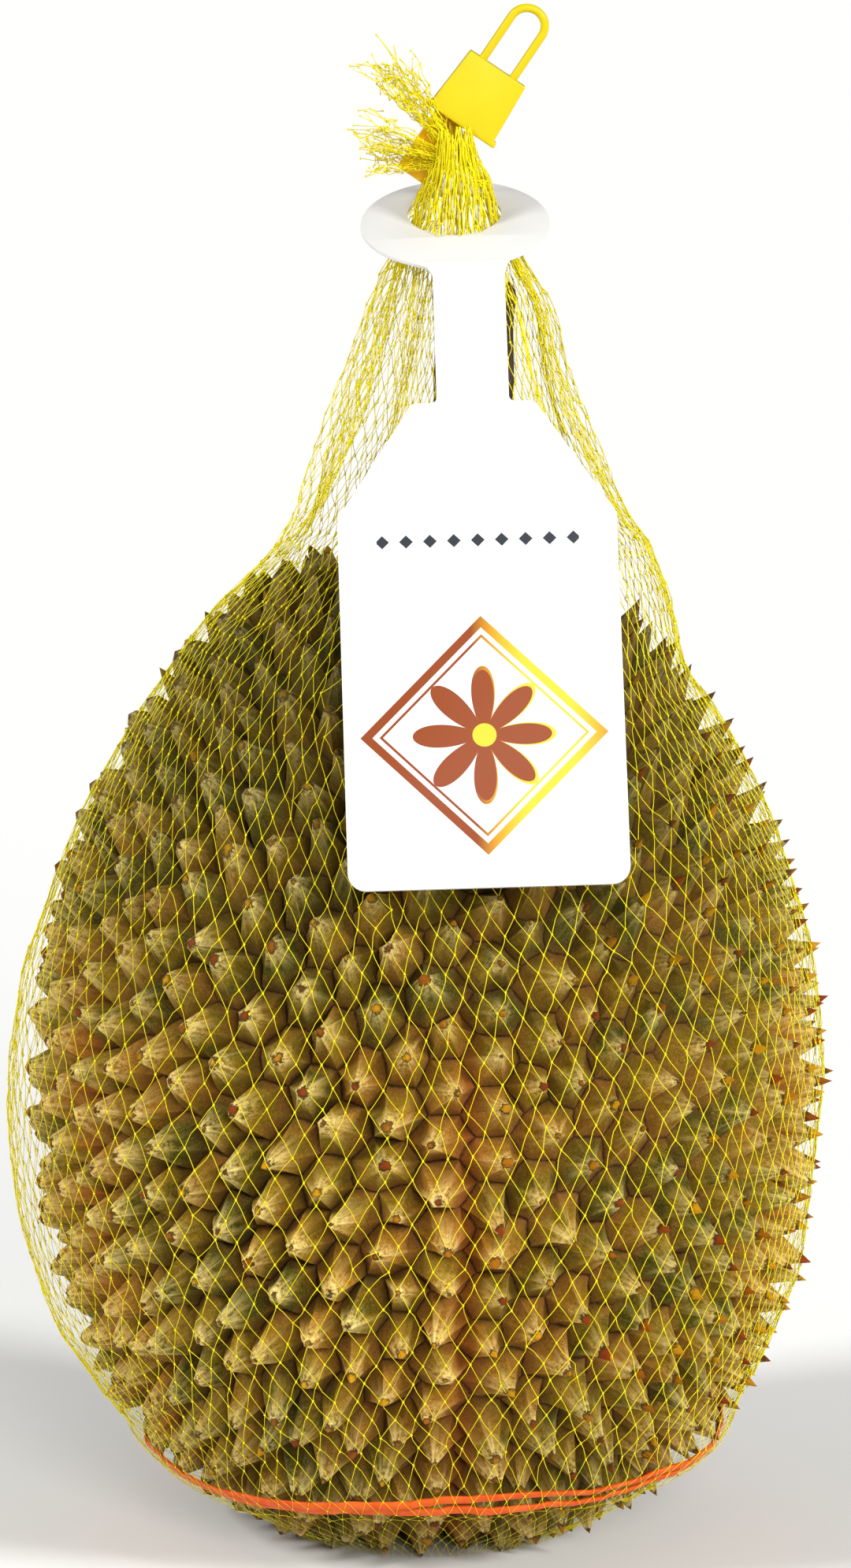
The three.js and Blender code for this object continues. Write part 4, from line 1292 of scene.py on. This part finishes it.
def tube_piece(
    name: str, path: list[np.ndarray], strand_mm: np.ndarray, knots: np.ndarray, knot_mm: np.ndarray
) -> bpy.types.Object:
    """Meshes many short strands as three-sided tubes, waisted at their middles, with a bead at each knot.

    Args:
        name: The piece's name.
        path: Points along the strands, in metres: all first points, then all second ones, and so on.
        strand_mm: The radius of each strand at its ends.
        knots: Where the knots are.
        knot_mm: The half-width of each knot.

    Returns:
        The piece.
    """
    along = path[-1] - path[0]
    along /= np.maximum(np.linalg.norm(along, axis=1, keepdims=True), 1e-9)
    outward = path[0] * np.array([1, 1, 0]) + np.array([1e-6, 0, 0])
    side = np.cross(outward, along)
    side /= np.maximum(np.linalg.norm(side, axis=1, keepdims=True), 1e-9)
    over = np.cross(along, side)
    points = []
    sides = 3
    spans = len(path) - 1
    for ring, centre in enumerate(path):
        waist = 1 - 0.25 * math.sin(math.pi * ring / spans)
        for corner in range(sides):
            turn = 2 * math.pi * corner / sides
            radius = (strand_mm * waist * MM)[:, None]
            points.append(centre + radius * (math.cos(turn) * side + math.sin(turn) * over))
    rings = np.stack(points, axis=1)
    base = np.arange(len(along))[:, None] * (len(path) * sides)
    quads = []
    for ring in range(spans):
        for corner in range(sides):
            after = (corner + 1) % sides
            low, high = ring * sides, (ring + 1) * sides
            quads.append([low + corner, low + after, high + after, high + corner])
    faces = (base[:, None, :] + np.array(quads)[None, :, :]).reshape(-1, 4)
    last = spans * sides
    caps = np.array([[2, 1, 0], [last, last + 1, last + 2]])
    cap_faces = (base[:, None, :] + caps[None, :, :]).reshape(-1, 3)
    vertices = rings.reshape(-1, 3)
    bead = np.array([(1, 0, 0), (0, 1, 0), (-1, 0, 0), (0, -1, 0), (0, 0, 1.5), (0, 0, -1.5)])
    bead_faces = np.array(
        [[0, 1, 4], [1, 2, 4], [2, 3, 4], [3, 0, 4], [1, 0, 5], [2, 1, 5], [3, 2, 5], [0, 3, 5]]
    )
    beads = (knots[:, None, :] + bead[None, :, :] * (knot_mm * MM)[:, None, None]).reshape(-1, 3)
    bead_base = len(vertices) + np.arange(len(knots))[:, None, None] * len(bead)
    all_beads = (bead_base + bead_faces[None, :, :]).reshape(-1, 3)
    all_faces = faces.tolist() + cap_faces.tolist() + all_beads.tolist()
    return mesh_piece(name, np.vstack([vertices, beads]), all_faces)


@dataclass
class NetTail:
    """The frayed end of the net, in tufts that spread to the left from the clip."""

    columns: int = 15
    rows: int = 11
    strand_mm: float = 0.13
    knot_mm: float = 0.24
    bow_mm: float = 0.35
    root_width_mm: float = 2.4
    fold_mm: float = 2.6
    ragged: float = 0.035
    seed: int = 23

    # Root, tip and width at the tip, in mm
    tufts: tuple = (
        ((4.6, -4.5, 314.5), (-15.0, -6.0, 337.0), 8.0),
        ((4.4, -3.4, 314.0), (-9.0, -2.5, 333.5), 11.0),
        ((4.0, -4.5, 311.5), (-17.0, -5.0, 319.0), 9.0),
        ((3.6, -3.4, 310.5), (-16.0, -2.0, 311.5), 8.0),
    )

    def build(self) -> bpy.types.Object:
        """Builds the tufts as one piece of ragged netting.

        Returns:
            The piece.
        """
        random = np.random.default_rng(self.seed)
        starts, ends, knots = [], [], []
        for root, tip, width in self.tufts:
            grid = self.tuft_knots(np.array(root), np.array(tip), width, random)
            held = {(0, column) for column in range(self.columns)}
            for row in range(self.rows - 1):
                for column in range(self.columns):
                    for east in (0, 1) if row % 2 else (0, -1):
                        other = column + east
                        torn = random.random() < 0.04 + 0.5 * (row / self.rows) ** 3
                        if 0 <= other < self.columns and not torn and (row, column) in held:
                            starts.append(grid[row, column])
                            ends.append(grid[row + 1, other])
                            held.add((row + 1, other))
            knots.extend(grid[spot] for spot in sorted(held))
        start, end = np.array(starts), np.array(ends)
        bow = random.normal(0, self.bow_mm * MM, start.shape)
        path = [start, (start + end) / 2 + bow, end]
        strand = np.full(len(start), self.strand_mm)
        knot = np.full(len(knots), self.knot_mm)
        return tube_piece("net_frayed_tail", path, strand, np.array(knots), knot)

    def tuft_knots(
        self, root: np.ndarray, tip: np.ndarray, width: float, random: np.random.Generator
    ) -> np.ndarray:
        """Places the knots of one tuft, close at the root and ragged at the tip.

        Args:
            root: Where the tuft starts, in mm.
            tip: Where its middle ends.
            width: How wide it spreads.
            random: The seeded source.

        Returns:
            Knots by row and column, in metres.
        """
        along = tip - root
        direction = along / np.linalg.norm(along)
        across = np.cross([0, 1, 0], direction)
        grid = np.zeros((self.rows, self.columns, 3))
        for row in range(self.rows):
            share = row / (self.rows - 1)
            spread = self.root_width_mm + (width - self.root_width_mm) * share**0.9
            for column in range(self.columns):
                side = (column + (row % 2) / 2) / (self.columns - 0.5) - 0.5
                ragged = random.normal(0, self.ragged * share, 3) * np.linalg.norm(along)
                reach = 1 - 0.3 * share * random.random()
                grid[row, column] = root + along * share * reach + across * side * spread + ragged
                fold = math.sin(3.5 * math.pi * side + 2 * share)
                grid[row, column, 1] += fold * self.fold_mm * share
        return grid * MM

    def dress(self, piece: bpy.types.Object, material: bpy.types.Material) -> None:
        """Gives the tail the net's finish."""
        finish_piece(piece, material, angle=180)
        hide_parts("net_neck")


@dataclass
class Stalk:
    """The woody stub at the crown, with the swollen joint low on it."""

    centre_x_mm: float = 9.8
    rings: tuple = (
        (213.3, 8.4), (220, 8.7), (226, 9.3), (231, 10.3), (234, 10.0), (238, 9.3), (248, 8.9), (262, 9.1),
        (272, 8.8), (278, 9.3), (282, 9.3), (283.2, 8.4),
    )
    bark_mm: float = 0.35
    sides: int = 56
    steps: int = 90

    def build(self) -> bpy.types.Object:
        """Shapes the stalk from a cylinder.

        Returns:
            The stalk piece.
        """
        deselect_all()
        profile = Outline([(radius, height) for height, radius in self.rings])
        bpy.ops.mesh.primitive_cylinder_add(
            vertices=self.sides, radius=1.0, depth=1.0, location=(0, 0, 0.5)
        )
        piece = bpy.context.object
        piece.name = "stalk_bark"
        place(piece, Matrix.Identity(4))
        take(piece)
        bpy.ops.object.mode_set(mode="EDIT")
        for step in range(1, self.steps):
            bpy.ops.mesh.select_all(action="SELECT")
            bpy.ops.mesh.bisect(plane_co=(0, 0, step / self.steps), plane_no=(0, 0, 1))
        bpy.ops.object.mode_set(mode="OBJECT")
        for vertex in piece.data.vertices:
            radius, height = profile.at(vertex.co.z)
            turn = math.atan2(vertex.co.y, vertex.co.x)
            uneven = 1 - 0.02 * (1 + math.sin(3 * turn + height / 9))
            bark = noise.noise(Vector((math.cos(turn) * 5, math.sin(turn) * 5, height / 9)))
            reach = radius * uneven + self.bark_mm * bark
            across = self.centre_x_mm + reach * math.cos(turn)
            vertex.co = Vector((across, reach * math.sin(turn), height)) * MM
        return piece

    def dress(self, piece: bpy.types.Object) -> None:
        """Gives the stalk its bark."""
        finish_piece(piece, WoodyStalk().build(), angle=50)
        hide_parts("stalk")


@dataclass
class RubberBand:
    """The orange band, two flat strands that lie on the spine tips under the net."""

    height_mm: float = 19.8
    radius_mm: float = 61.0
    tilt_deg: float = 2.4
    sunk_mm: float = 0.8
    wander_mm: tuple = (0.55, 0.35)
    width_mm: float = 1.9
    thickness_mm: float = 0.7
    steps: int = 180
    offsets_mm: tuple = (-1.15, 0.9)
    seed: int = 8

    def centre_height_mm(self, angle: np.ndarray) -> np.ndarray:
        """Gives the height of the band's middle, in mm, at an angle or angles round the fruit."""
        return self.height_mm + math.radians(self.tilt_deg) * self.radius_mm * np.cos(angle)

    def build(self, husk: Husk) -> bpy.types.Object:
        """Sweeps the strands round the fruit.

        Args:
            husk: The fruit that they lie on.

        Returns:
            One piece with all strands.
        """
        random = np.random.default_rng(self.seed)
        half, thick = self.width_mm / 2 * MM, self.thickness_mm * MM
        section = (
            (-half, 0.2 * thick), (-half, 0.8 * thick), (-half * 0.8, thick), (half * 0.8, thick),
            (half, 0.8 * thick), (half, 0.2 * thick), (half * 0.8, 0), (-half * 0.8, 0),
        )
        vertices, faces = [], []
        for offset in self.offsets_mm:
            phases = random.uniform(0, 2 * math.pi, 3)
            first = len(vertices)
            for step in range(self.steps):
                angle = step / self.steps * 2 * math.pi
                wander = self.wander_mm[0] * math.sin(3 * angle + phases[0])
                wander += self.wander_mm[1] * math.sin(7 * angle + phases[1])
                height = float(self.centre_height_mm(angle)) + offset + wander
                radius, level = TIP_OUTLINE.at(TIP_OUTLINE.share_at_height(height))
                guess = Vector((radius * math.cos(angle), radius * math.sin(angle), level)) * MM
                near, normal, _, _ = husk.hull.find_nearest(guess)
                east = Vector((-math.sin(angle), math.cos(angle), 0))
                normal = (normal + Vector((math.cos(angle), math.sin(angle), -0.5))).normalized()
                upward = normal.cross(east).normalized() * -1
                base = near - normal * ((self.sunk_mm + 0.12 * math.sin(5 * angle + phases[2])) * MM)
                roll = 0.25 * math.sin(4 * angle + phases[2])
                for along, out in section:
                    spot = base + upward * (along * math.cos(roll))
                    vertices.append(spot + normal * (out + along * math.sin(roll)))
            count = len(section)
            for step in range(self.steps):
                low = first + step * count
                high = first + ((step + 1) % self.steps) * count
                for side in range(count):
                    after = (side + 1) % count
                    faces.append([low + side, low + after, high + after, high + side])
        piece = mesh_piece("rubber_band_strands", np.array(vertices), faces)
        take(piece)
        bpy.ops.object.mode_set(mode="EDIT")
        bpy.ops.mesh.select_all(action="SELECT")
        bpy.ops.mesh.normals_make_consistent(inside=False)
        bpy.ops.object.mode_set(mode="OBJECT")
        return piece

    def dress(self, piece: bpy.types.Object) -> None:
        """Gives the band its rubber."""
        finish_piece(piece, CutRubber().build(), angle=60)
        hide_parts("rubber_band")


@dataclass
class SwingTag:
    """The die-cut tag, bent at the top of its neck so that its ring lies over the gathered net."""

    foot_mm: tuple = (12.9, -83.7, 162.2)
    hinge_mm: tuple = (-24.0, 289.2)
    turn_deg: float = 1.8
    width: float = 60.8
    side_height: float = 83.5
    shoulder_height: float = 109.5
    shoulder_width: float = 28.8
    neck_width: float = 15.8
    corner: float = 4.0
    shoulder_round: float = 2.2
    neck_round: float = 1.2
    side_chamfer: tuple = (0.4, 0.8, 0.7)
    thickness: float = 0.8
    edge_round: float = 0.14
    ring_radius: float = 20.9
    ring_hole: float = 10.4
    ring_hole_shift: float = 4.6
    ring_shift: float = -2.4
    ring_overlap: float = 0.6
    ring_slope_deg: float = 21.0
    bend_half: float = 2.6
    bend_steps: int = 10
    print_top: float = 112.0

    def arc(self, centre: tuple, radius: float, start: float, end: float, steps: int) -> list[tuple]:
        """Lists the points of an arc.

        Args:
            centre: Its centre.
            radius: Its radius.
            start: The first angle, in degrees.
            end: The last angle.
            steps: The number of steps.

        Returns:
            The points.
        """
        angles = [math.radians(start + (end - start) * step / steps) for step in range(steps + 1)]
        return [(centre[0] + radius * math.cos(a), centre[1] + radius * math.sin(a)) for a in angles]

    def outline(self, length: float) -> tuple[list[tuple], list[tuple]]:
        """Draws the flat tag, in mm.

        Args:
            length: From its lower edge to the bend.

        Returns:
            The outer outline and the ring's hole.
        """
        half, shoulder, neck = self.width / 2, self.shoulder_width / 2, self.neck_width / 2
        corner, outer, inner = self.corner, self.shoulder_round, self.neck_round
        inset, below, above = self.side_chamfer
        low, high, top = self.side_height - below, self.side_height + above, self.shoulder_height
        centre = (self.ring_shift, length + self.ring_radius - self.ring_overlap)
        right = math.degrees(math.asin((neck + inner - centre[0]) / self.ring_radius))
        left = math.degrees(math.asin((neck + inner + centre[0]) / self.ring_radius))
        points = self.arc((half - corner, corner), corner, -90, 0, 8)
        points += [(half, low), (half - inset, high)]
        points += self.arc((shoulder - outer, top - outer), outer, 30, 90, 5)
        points += self.arc((neck + inner, top + inner), inner, -90, -180, 4)
        points += [(neck, length - 1.5)]
        points += self.arc(centre, self.ring_radius, -90 + right, 270 - left, 72)
        points += [(-neck, length - 1.5)]
        points += self.arc((-neck - inner, top + inner), inner, 0, -90, 4)
        points += self.arc((-shoulder + outer, top - outer), outer, 90, 150, 5)
        points += [(-half + inset, high), (-half, low)]
        points += self.arc((-half + corner, corner), corner, 180, 270, 8)
        hole_centre = (centre[0], centre[1] + self.ring_hole_shift)
        return points, self.arc(hole_centre, self.ring_hole, 0, 360 - 360 / 60, 59)

    def build(self) -> bpy.types.Object:
        """Cuts the sheet flat, bends it, gives it its thickness and puts it in place.

        Returns:
            The tag piece.
        """
        foot = Vector(self.foot_mm)
        run = Vector((self.hinge_mm[0] - foot.y, self.hinge_mm[1] - foot.z))
        length, pitch = run.length, math.atan2(run.y, run.x)
        curve = bpy.data.curves.new("swing_tag_outline", "CURVE")
        curve.dimensions = "2D"
        curve.fill_mode = "BOTH"
        for loop in self.outline(length):
            spline = curve.splines.new("POLY")
            spline.points.add(len(loop) - 1)
            for point, (x, y) in zip(spline.points, loop):
                point.co = (x, y, 0, 1)
            spline.use_cyclic_u = True
        piece = bpy.data.objects.new("swing_tag_sheet", curve)
        bpy.context.scene.collection.objects.link(piece)
        take(piece)
        bpy.ops.object.convert(target="MESH")
        piece = bpy.context.object
        bpy.ops.object.mode_set(mode="EDIT")
        half_steps = self.bend_steps / 2
        cuts = [length + self.bend_half * (step / half_steps - 1) for step in range(self.bend_steps + 1)]
        for cut in cuts + list(range(20, 121, 20)):
            bpy.ops.mesh.select_all(action="SELECT")
            bpy.ops.mesh.bisect(plane_co=(0, cut, 0), plane_no=(0, 1, 0))
        bpy.ops.mesh.select_all(action="SELECT")
        bpy.ops.mesh.remove_doubles(threshold=0.001)
        bpy.ops.mesh.normals_make_consistent(inside=False)
        bpy.ops.object.mode_set(mode="OBJECT")
        mesh = piece.data
        if mesh.polygons[0].normal.z < 0:
            mesh.flip_normals()
        flat = mesh.uv_layers.new(name="flat")
        for loop in mesh.loops:
            spot = mesh.vertices[loop.vertex_index].co
            flat.data[loop.index].uv = (spot.x / FLAT_MAP_MM, spot.y / FLAT_MAP_MM)
        fold = math.radians(self.ring_slope_deg) - pitch
        for vertex in mesh.vertices:
            vertex.co = self.bent(vertex.co, length, fold)
        place(piece, Matrix.Scale(MM, 4))
        apply_modifier(piece, "SOLIDIFY", {"thickness": self.thickness * MM, "offset": 1.0})
        edges = {"width": self.edge_round * MM, "segments": 2, "limit_method": "ANGLE"}
        apply_modifier(piece, "BEVEL", edges | {"angle_limit": math.radians(50)})
        front = mesh.attributes.new("front", "FLOAT", "FACE")
        top = self.print_top * MM
        printed = [face.normal.z > 0.6 and face.center.y < top for face in piece.data.polygons]
        front.data.foreach_set("value", [float(on) for on in printed])
        turn = Matrix.Rotation(math.radians(self.turn_deg), 4, "Z")
        lean = Matrix.Rotation(pitch, 4, "X")
        place(piece, Matrix.Translation(foot * MM) @ lean @ turn)
        return piece

    def bent(self, spot: Vector, length: float, fold: float) -> Vector:
        """Carries a point of the flat sheet round the bend.

        Args:
            spot: The flat point, in mm.
            length: Where the bend is.
            fold: The whole angle of the bend.

        Returns:
            The bent point.
        """
        start, end = length - self.bend_half, length + self.bend_half
        if spot.y <= start:
            return spot.copy()
        radius = 2 * self.bend_half / abs(fold)
        turned = min(spot.y - start, 2 * self.bend_half) / radius
        y = start + radius * math.sin(turned)
        z = -radius * (1 - math.cos(turned))
        if spot.y > end:
            y += (spot.y - end) * math.cos(fold)
            z += (spot.y - end) * math.sin(fold)
        return Vector((spot.x, y, z))

    def dress(self, piece: bpy.types.Object) -> None:
        """Gives the tag its printed sheet."""
        finish_piece(piece, PrintedTagSheet().build(), angle=30)
        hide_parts("swing_tag")


@dataclass
class Clip:
    """The moulded clip: a tapered flat body with small feet, its hanging loop, and the strap plate."""

    centre_mm: tuple = (10.9, -1.5, 324.9)
    tilt_deg: float = 34.0
    top_width: float = 14.6
    foot_width: float = 16.4
    height: float = 15.2
    thickness: float = 4.6
    lip: float = 0.8
    lip_height: float = 1.3
    edge_round: float = 0.32
    bar_radius: float = 0.95
    loop_spacing: float = 8.0
    loop_length: float = 16.2
    loop_bite: float = 1.0
    loop_steps: int = 24
    plate_size: tuple = (7.2, 1.6, 20.0)
    plate_shift: float = -2.6
    plate_drop: float = -13.2
    plate_gap: float = 0.35
    plate_round: float = 0.3

    def placed(self) -> Matrix:
        """Gives the clip's placement in the shared frame."""
        tilt = Matrix.Rotation(math.radians(self.tilt_deg), 4, "Y")
        return Matrix.Translation(Vector(self.centre_mm) * MM) @ tilt @ Matrix.Scale(MM, 4)

    def build_body(self) -> bpy.types.Object:
        """Shapes the body from a cube: tapered, with two small feet at its lower corners.

        Returns:
            The body, in place.
        """
        deselect_all()
        bpy.ops.mesh.primitive_cube_add(size=1, location=(0, 0, 0))
        piece = bpy.context.object
        piece.name = "clip_body_moulded"
        piece.scale = (self.foot_width, self.thickness, self.height)
        place(piece, Matrix.Identity(4))
        take(piece)
        bpy.ops.object.mode_set(mode="EDIT")
        bpy.ops.mesh.select_all(action="SELECT")
        bpy.ops.mesh.bisect(plane_co=(0, 0, self.lip_height - self.height / 2), plane_no=(0, 0, 1))
        bpy.ops.object.mode_set(mode="OBJECT")
        for vertex in piece.data.vertices:
            if vertex.co.z > 0:
                vertex.co.x *= self.top_width / self.foot_width
        for side in (-1, 1):
            self.extrude_foot(piece, side)
        edges = {"width": self.edge_round, "segments": 3, "limit_method": "ANGLE"}
        apply_modifier(piece, "BEVEL", edges | {"angle_limit": math.radians(40)})
        place(piece, self.placed())
        return piece

    def extrude_foot(self, piece: bpy.types.Object, side: int) -> None:
        """Draws one foot out of the body's lower side.

        Args:
            piece: The body.
            side: -1 for the left foot, 1 for the right.
        """
        take(piece)
        for face in piece.data.polygons:
            low = face.center.z < self.lip_height - self.height / 2
            face.select = low and face.normal.x * side > 0.9
        for edge in piece.data.edges:
            edge.select = False
        for vertex in piece.data.vertices:
            vertex.select = False
        for face in piece.data.polygons:
            if face.select:
                for number in face.vertices:
                    piece.data.vertices[number].select = True
        bpy.ops.object.mode_set(mode="EDIT")
        bpy.ops.mesh.select_mode(type="FACE")
        bpy.ops.mesh.extrude_region_move(TRANSFORM_OT_translate={"value": (side * self.lip, 0, 0)})
        bpy.ops.object.mode_set(mode="OBJECT")

    def build_loop(self) -> bpy.types.Object:
        """Sweeps the hanging loop's bar up, round and down.

        Returns:
            The loop, in place.
        """
        radius = self.loop_spacing / 2
        foot = self.height / 2 - self.loop_bite
        bend = self.height / 2 + self.loop_length - radius - self.bar_radius
        path = [(-radius, 0, foot), (-radius, 0, (foot + bend) / 2)]
        for step in range(self.loop_steps + 1):
            angle = math.pi * (1 - step / self.loop_steps)
            path.append((radius * math.cos(angle), 0, bend + radius * math.sin(angle)))
        path += [(radius, 0, (foot + bend) / 2), (radius, 0, foot)]
        curve = bpy.data.curves.new("clip_loop", "CURVE")
        curve.dimensions = "3D"
        curve.bevel_depth = self.bar_radius
        curve.bevel_resolution = 5
        curve.use_fill_caps = True
        spline = curve.splines.new("POLY")
        spline.points.add(len(path) - 1)
        for point, spot in zip(spline.points, path):
            point.co = (*spot, 1)
        piece = bpy.data.objects.new("clip_hanging_loop", curve)
        bpy.context.scene.collection.objects.link(piece)
        take(piece)
        bpy.ops.object.convert(target="MESH")
        piece = bpy.context.object
        place(piece, self.placed())
        return piece

    def build_plate(self) -> bpy.types.Object:
        """Shapes the strap plate from a cube.

        Returns:
            The plate, in place.
        """
        deselect_all()
        bpy.ops.mesh.primitive_cube_add(size=1, location=(0, 0, 0))
        piece = bpy.context.object
        piece.name = "clip_strap_plate"
        piece.scale = self.plate_size
        behind = self.thickness / 2 + self.plate_gap + self.plate_size[1] / 2
        piece.location = (self.plate_shift, behind, self.plate_drop)
        place(piece, Matrix.Identity(4))
        apply_modifier(piece, "BEVEL", {"width": self.plate_round, "segments": 3})
        place(piece, self.placed())
        return piece

    def dress(self, body: bpy.types.Object, loop: bpy.types.Object, plate: bpy.types.Object) -> None:
        """Gives the clip its moulded plastic, the strap plate a shade warmer."""
        moulded = MouldedClip().build()
        finish_piece(body, moulded)
        finish_piece(loop, moulded, angle=60)
        warmer = MouldedClip("polypropylene_strap_moulded", "#F0B400").build()
        finish_piece(plate, warmer)
        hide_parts("clip_body")
        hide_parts("clip_body")
        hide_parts("clip_plate")


@dataclass
class Studio:
    """The pale floor, soft lights and the camera."""

    elevation_deg: float = 10.0
    distance: float = 1.85
    lens: float = 189.0
    aim_mm: tuple = (-0.9, 0.0, 170.2)
    floor_size: float = 60.0
    sky_strength: float = 0.25

    # Name, direction, strength and angle in degrees of each soft light
    lights: tuple = (
        ("left_light", (-1.0, -0.5, 0.8), 1.9, 14),
        ("right_light", (1.0, -0.65, 0.6), 2.4, 14),
        ("front_light", (0.2, -1.0, 0.4), 1.3, 20),
    )

    def build(self) -> None:
        """Sets up the floor, the world, the lights and the camera."""
        deselect_all()
        bpy.ops.mesh.primitive_plane_add(size=self.floor_size, location=(0, 0, 0))
        floor = bpy.context.object
        floor.name = "studio_floor"
        material, tree = new_material("studio_paper_matt")
        shader = add_node(tree, "BsdfPrincipled", {"Base Color": linear("#F8F8F6"), "Roughness": 0.9})
        add_node(tree, "OutputMaterial", links={0: shader.outputs[0]})
        floor.data.materials.append(material)
        world = bpy.data.worlds.new("studio_world")
        world.use_nodes = True
        background = world.node_tree.nodes["Background"]
        background.inputs["Color"].default_value = linear("#FFFFFF")
        background.inputs["Strength"].default_value = self.sky_strength
        bpy.context.scene.world = world
        bpy.context.scene.view_settings.view_transform = "Standard"
        for light in self.lights:
            self.light(*light)
        camera = bpy.data.objects.new("camera", bpy.data.cameras.new("camera"))
        bpy.context.scene.collection.objects.link(camera)
        elevation = math.radians(self.elevation_deg)
        aim = Vector(self.aim_mm) * MM
        back = Vector((0, -math.cos(elevation), math.sin(elevation)))
        camera.location = aim + back * self.distance
        camera.rotation_euler = (-back).to_track_quat("-Z", "Y").to_euler()
        camera.data.lens = self.lens
        camera.data.sensor_width = 36
        camera.data.clip_end = 50
        bpy.context.scene.camera = camera

    def light(self, name: str, spot: tuple, power: float, spread_deg: float) -> None:
        """Adds a soft light that shines evenly over the floor and the fruit.

        Args:
            name: Its name.
            spot: The direction that it comes from.
            power: Its strength.
            spread_deg: The angle that it fills, which softens its shadows.
        """
        lamp = bpy.data.lights.new(name, "SUN")
        lamp.energy = power
        lamp.angle = math.radians(spread_deg)
        holder = bpy.data.objects.new(name, lamp)
        bpy.context.scene.collection.objects.link(holder)
        holder.rotation_euler = (-Vector(spot)).to_track_quat("-Z", "Y").to_euler()


def main() -> None:
    """Builds every piece in order, from the fruit outwards."""
    logging.basicConfig(level=logging.INFO, format="%(message)s")
    Studio().build()
    husk = Husk()
    husk_piece = husk.build()
    husk.dress(husk_piece)
    stalk = Stalk()
    stalk.dress(stalk.build())
    band = RubberBand()
    band.dress(band.build(husk))
    netting = ExtrudedNet().build()
    net = NetBag()
    net.dress(net.build(husk, band), netting)
    tail = NetTail()
    tail.dress(tail.build(), netting)
    tag = SwingTag()
    tag.dress(tag.build())
    clip = Clip()
    clip.dress(clip.build_body(), clip.build_loop(), clip.build_plate())


if __name__ == "__main__":
    main()
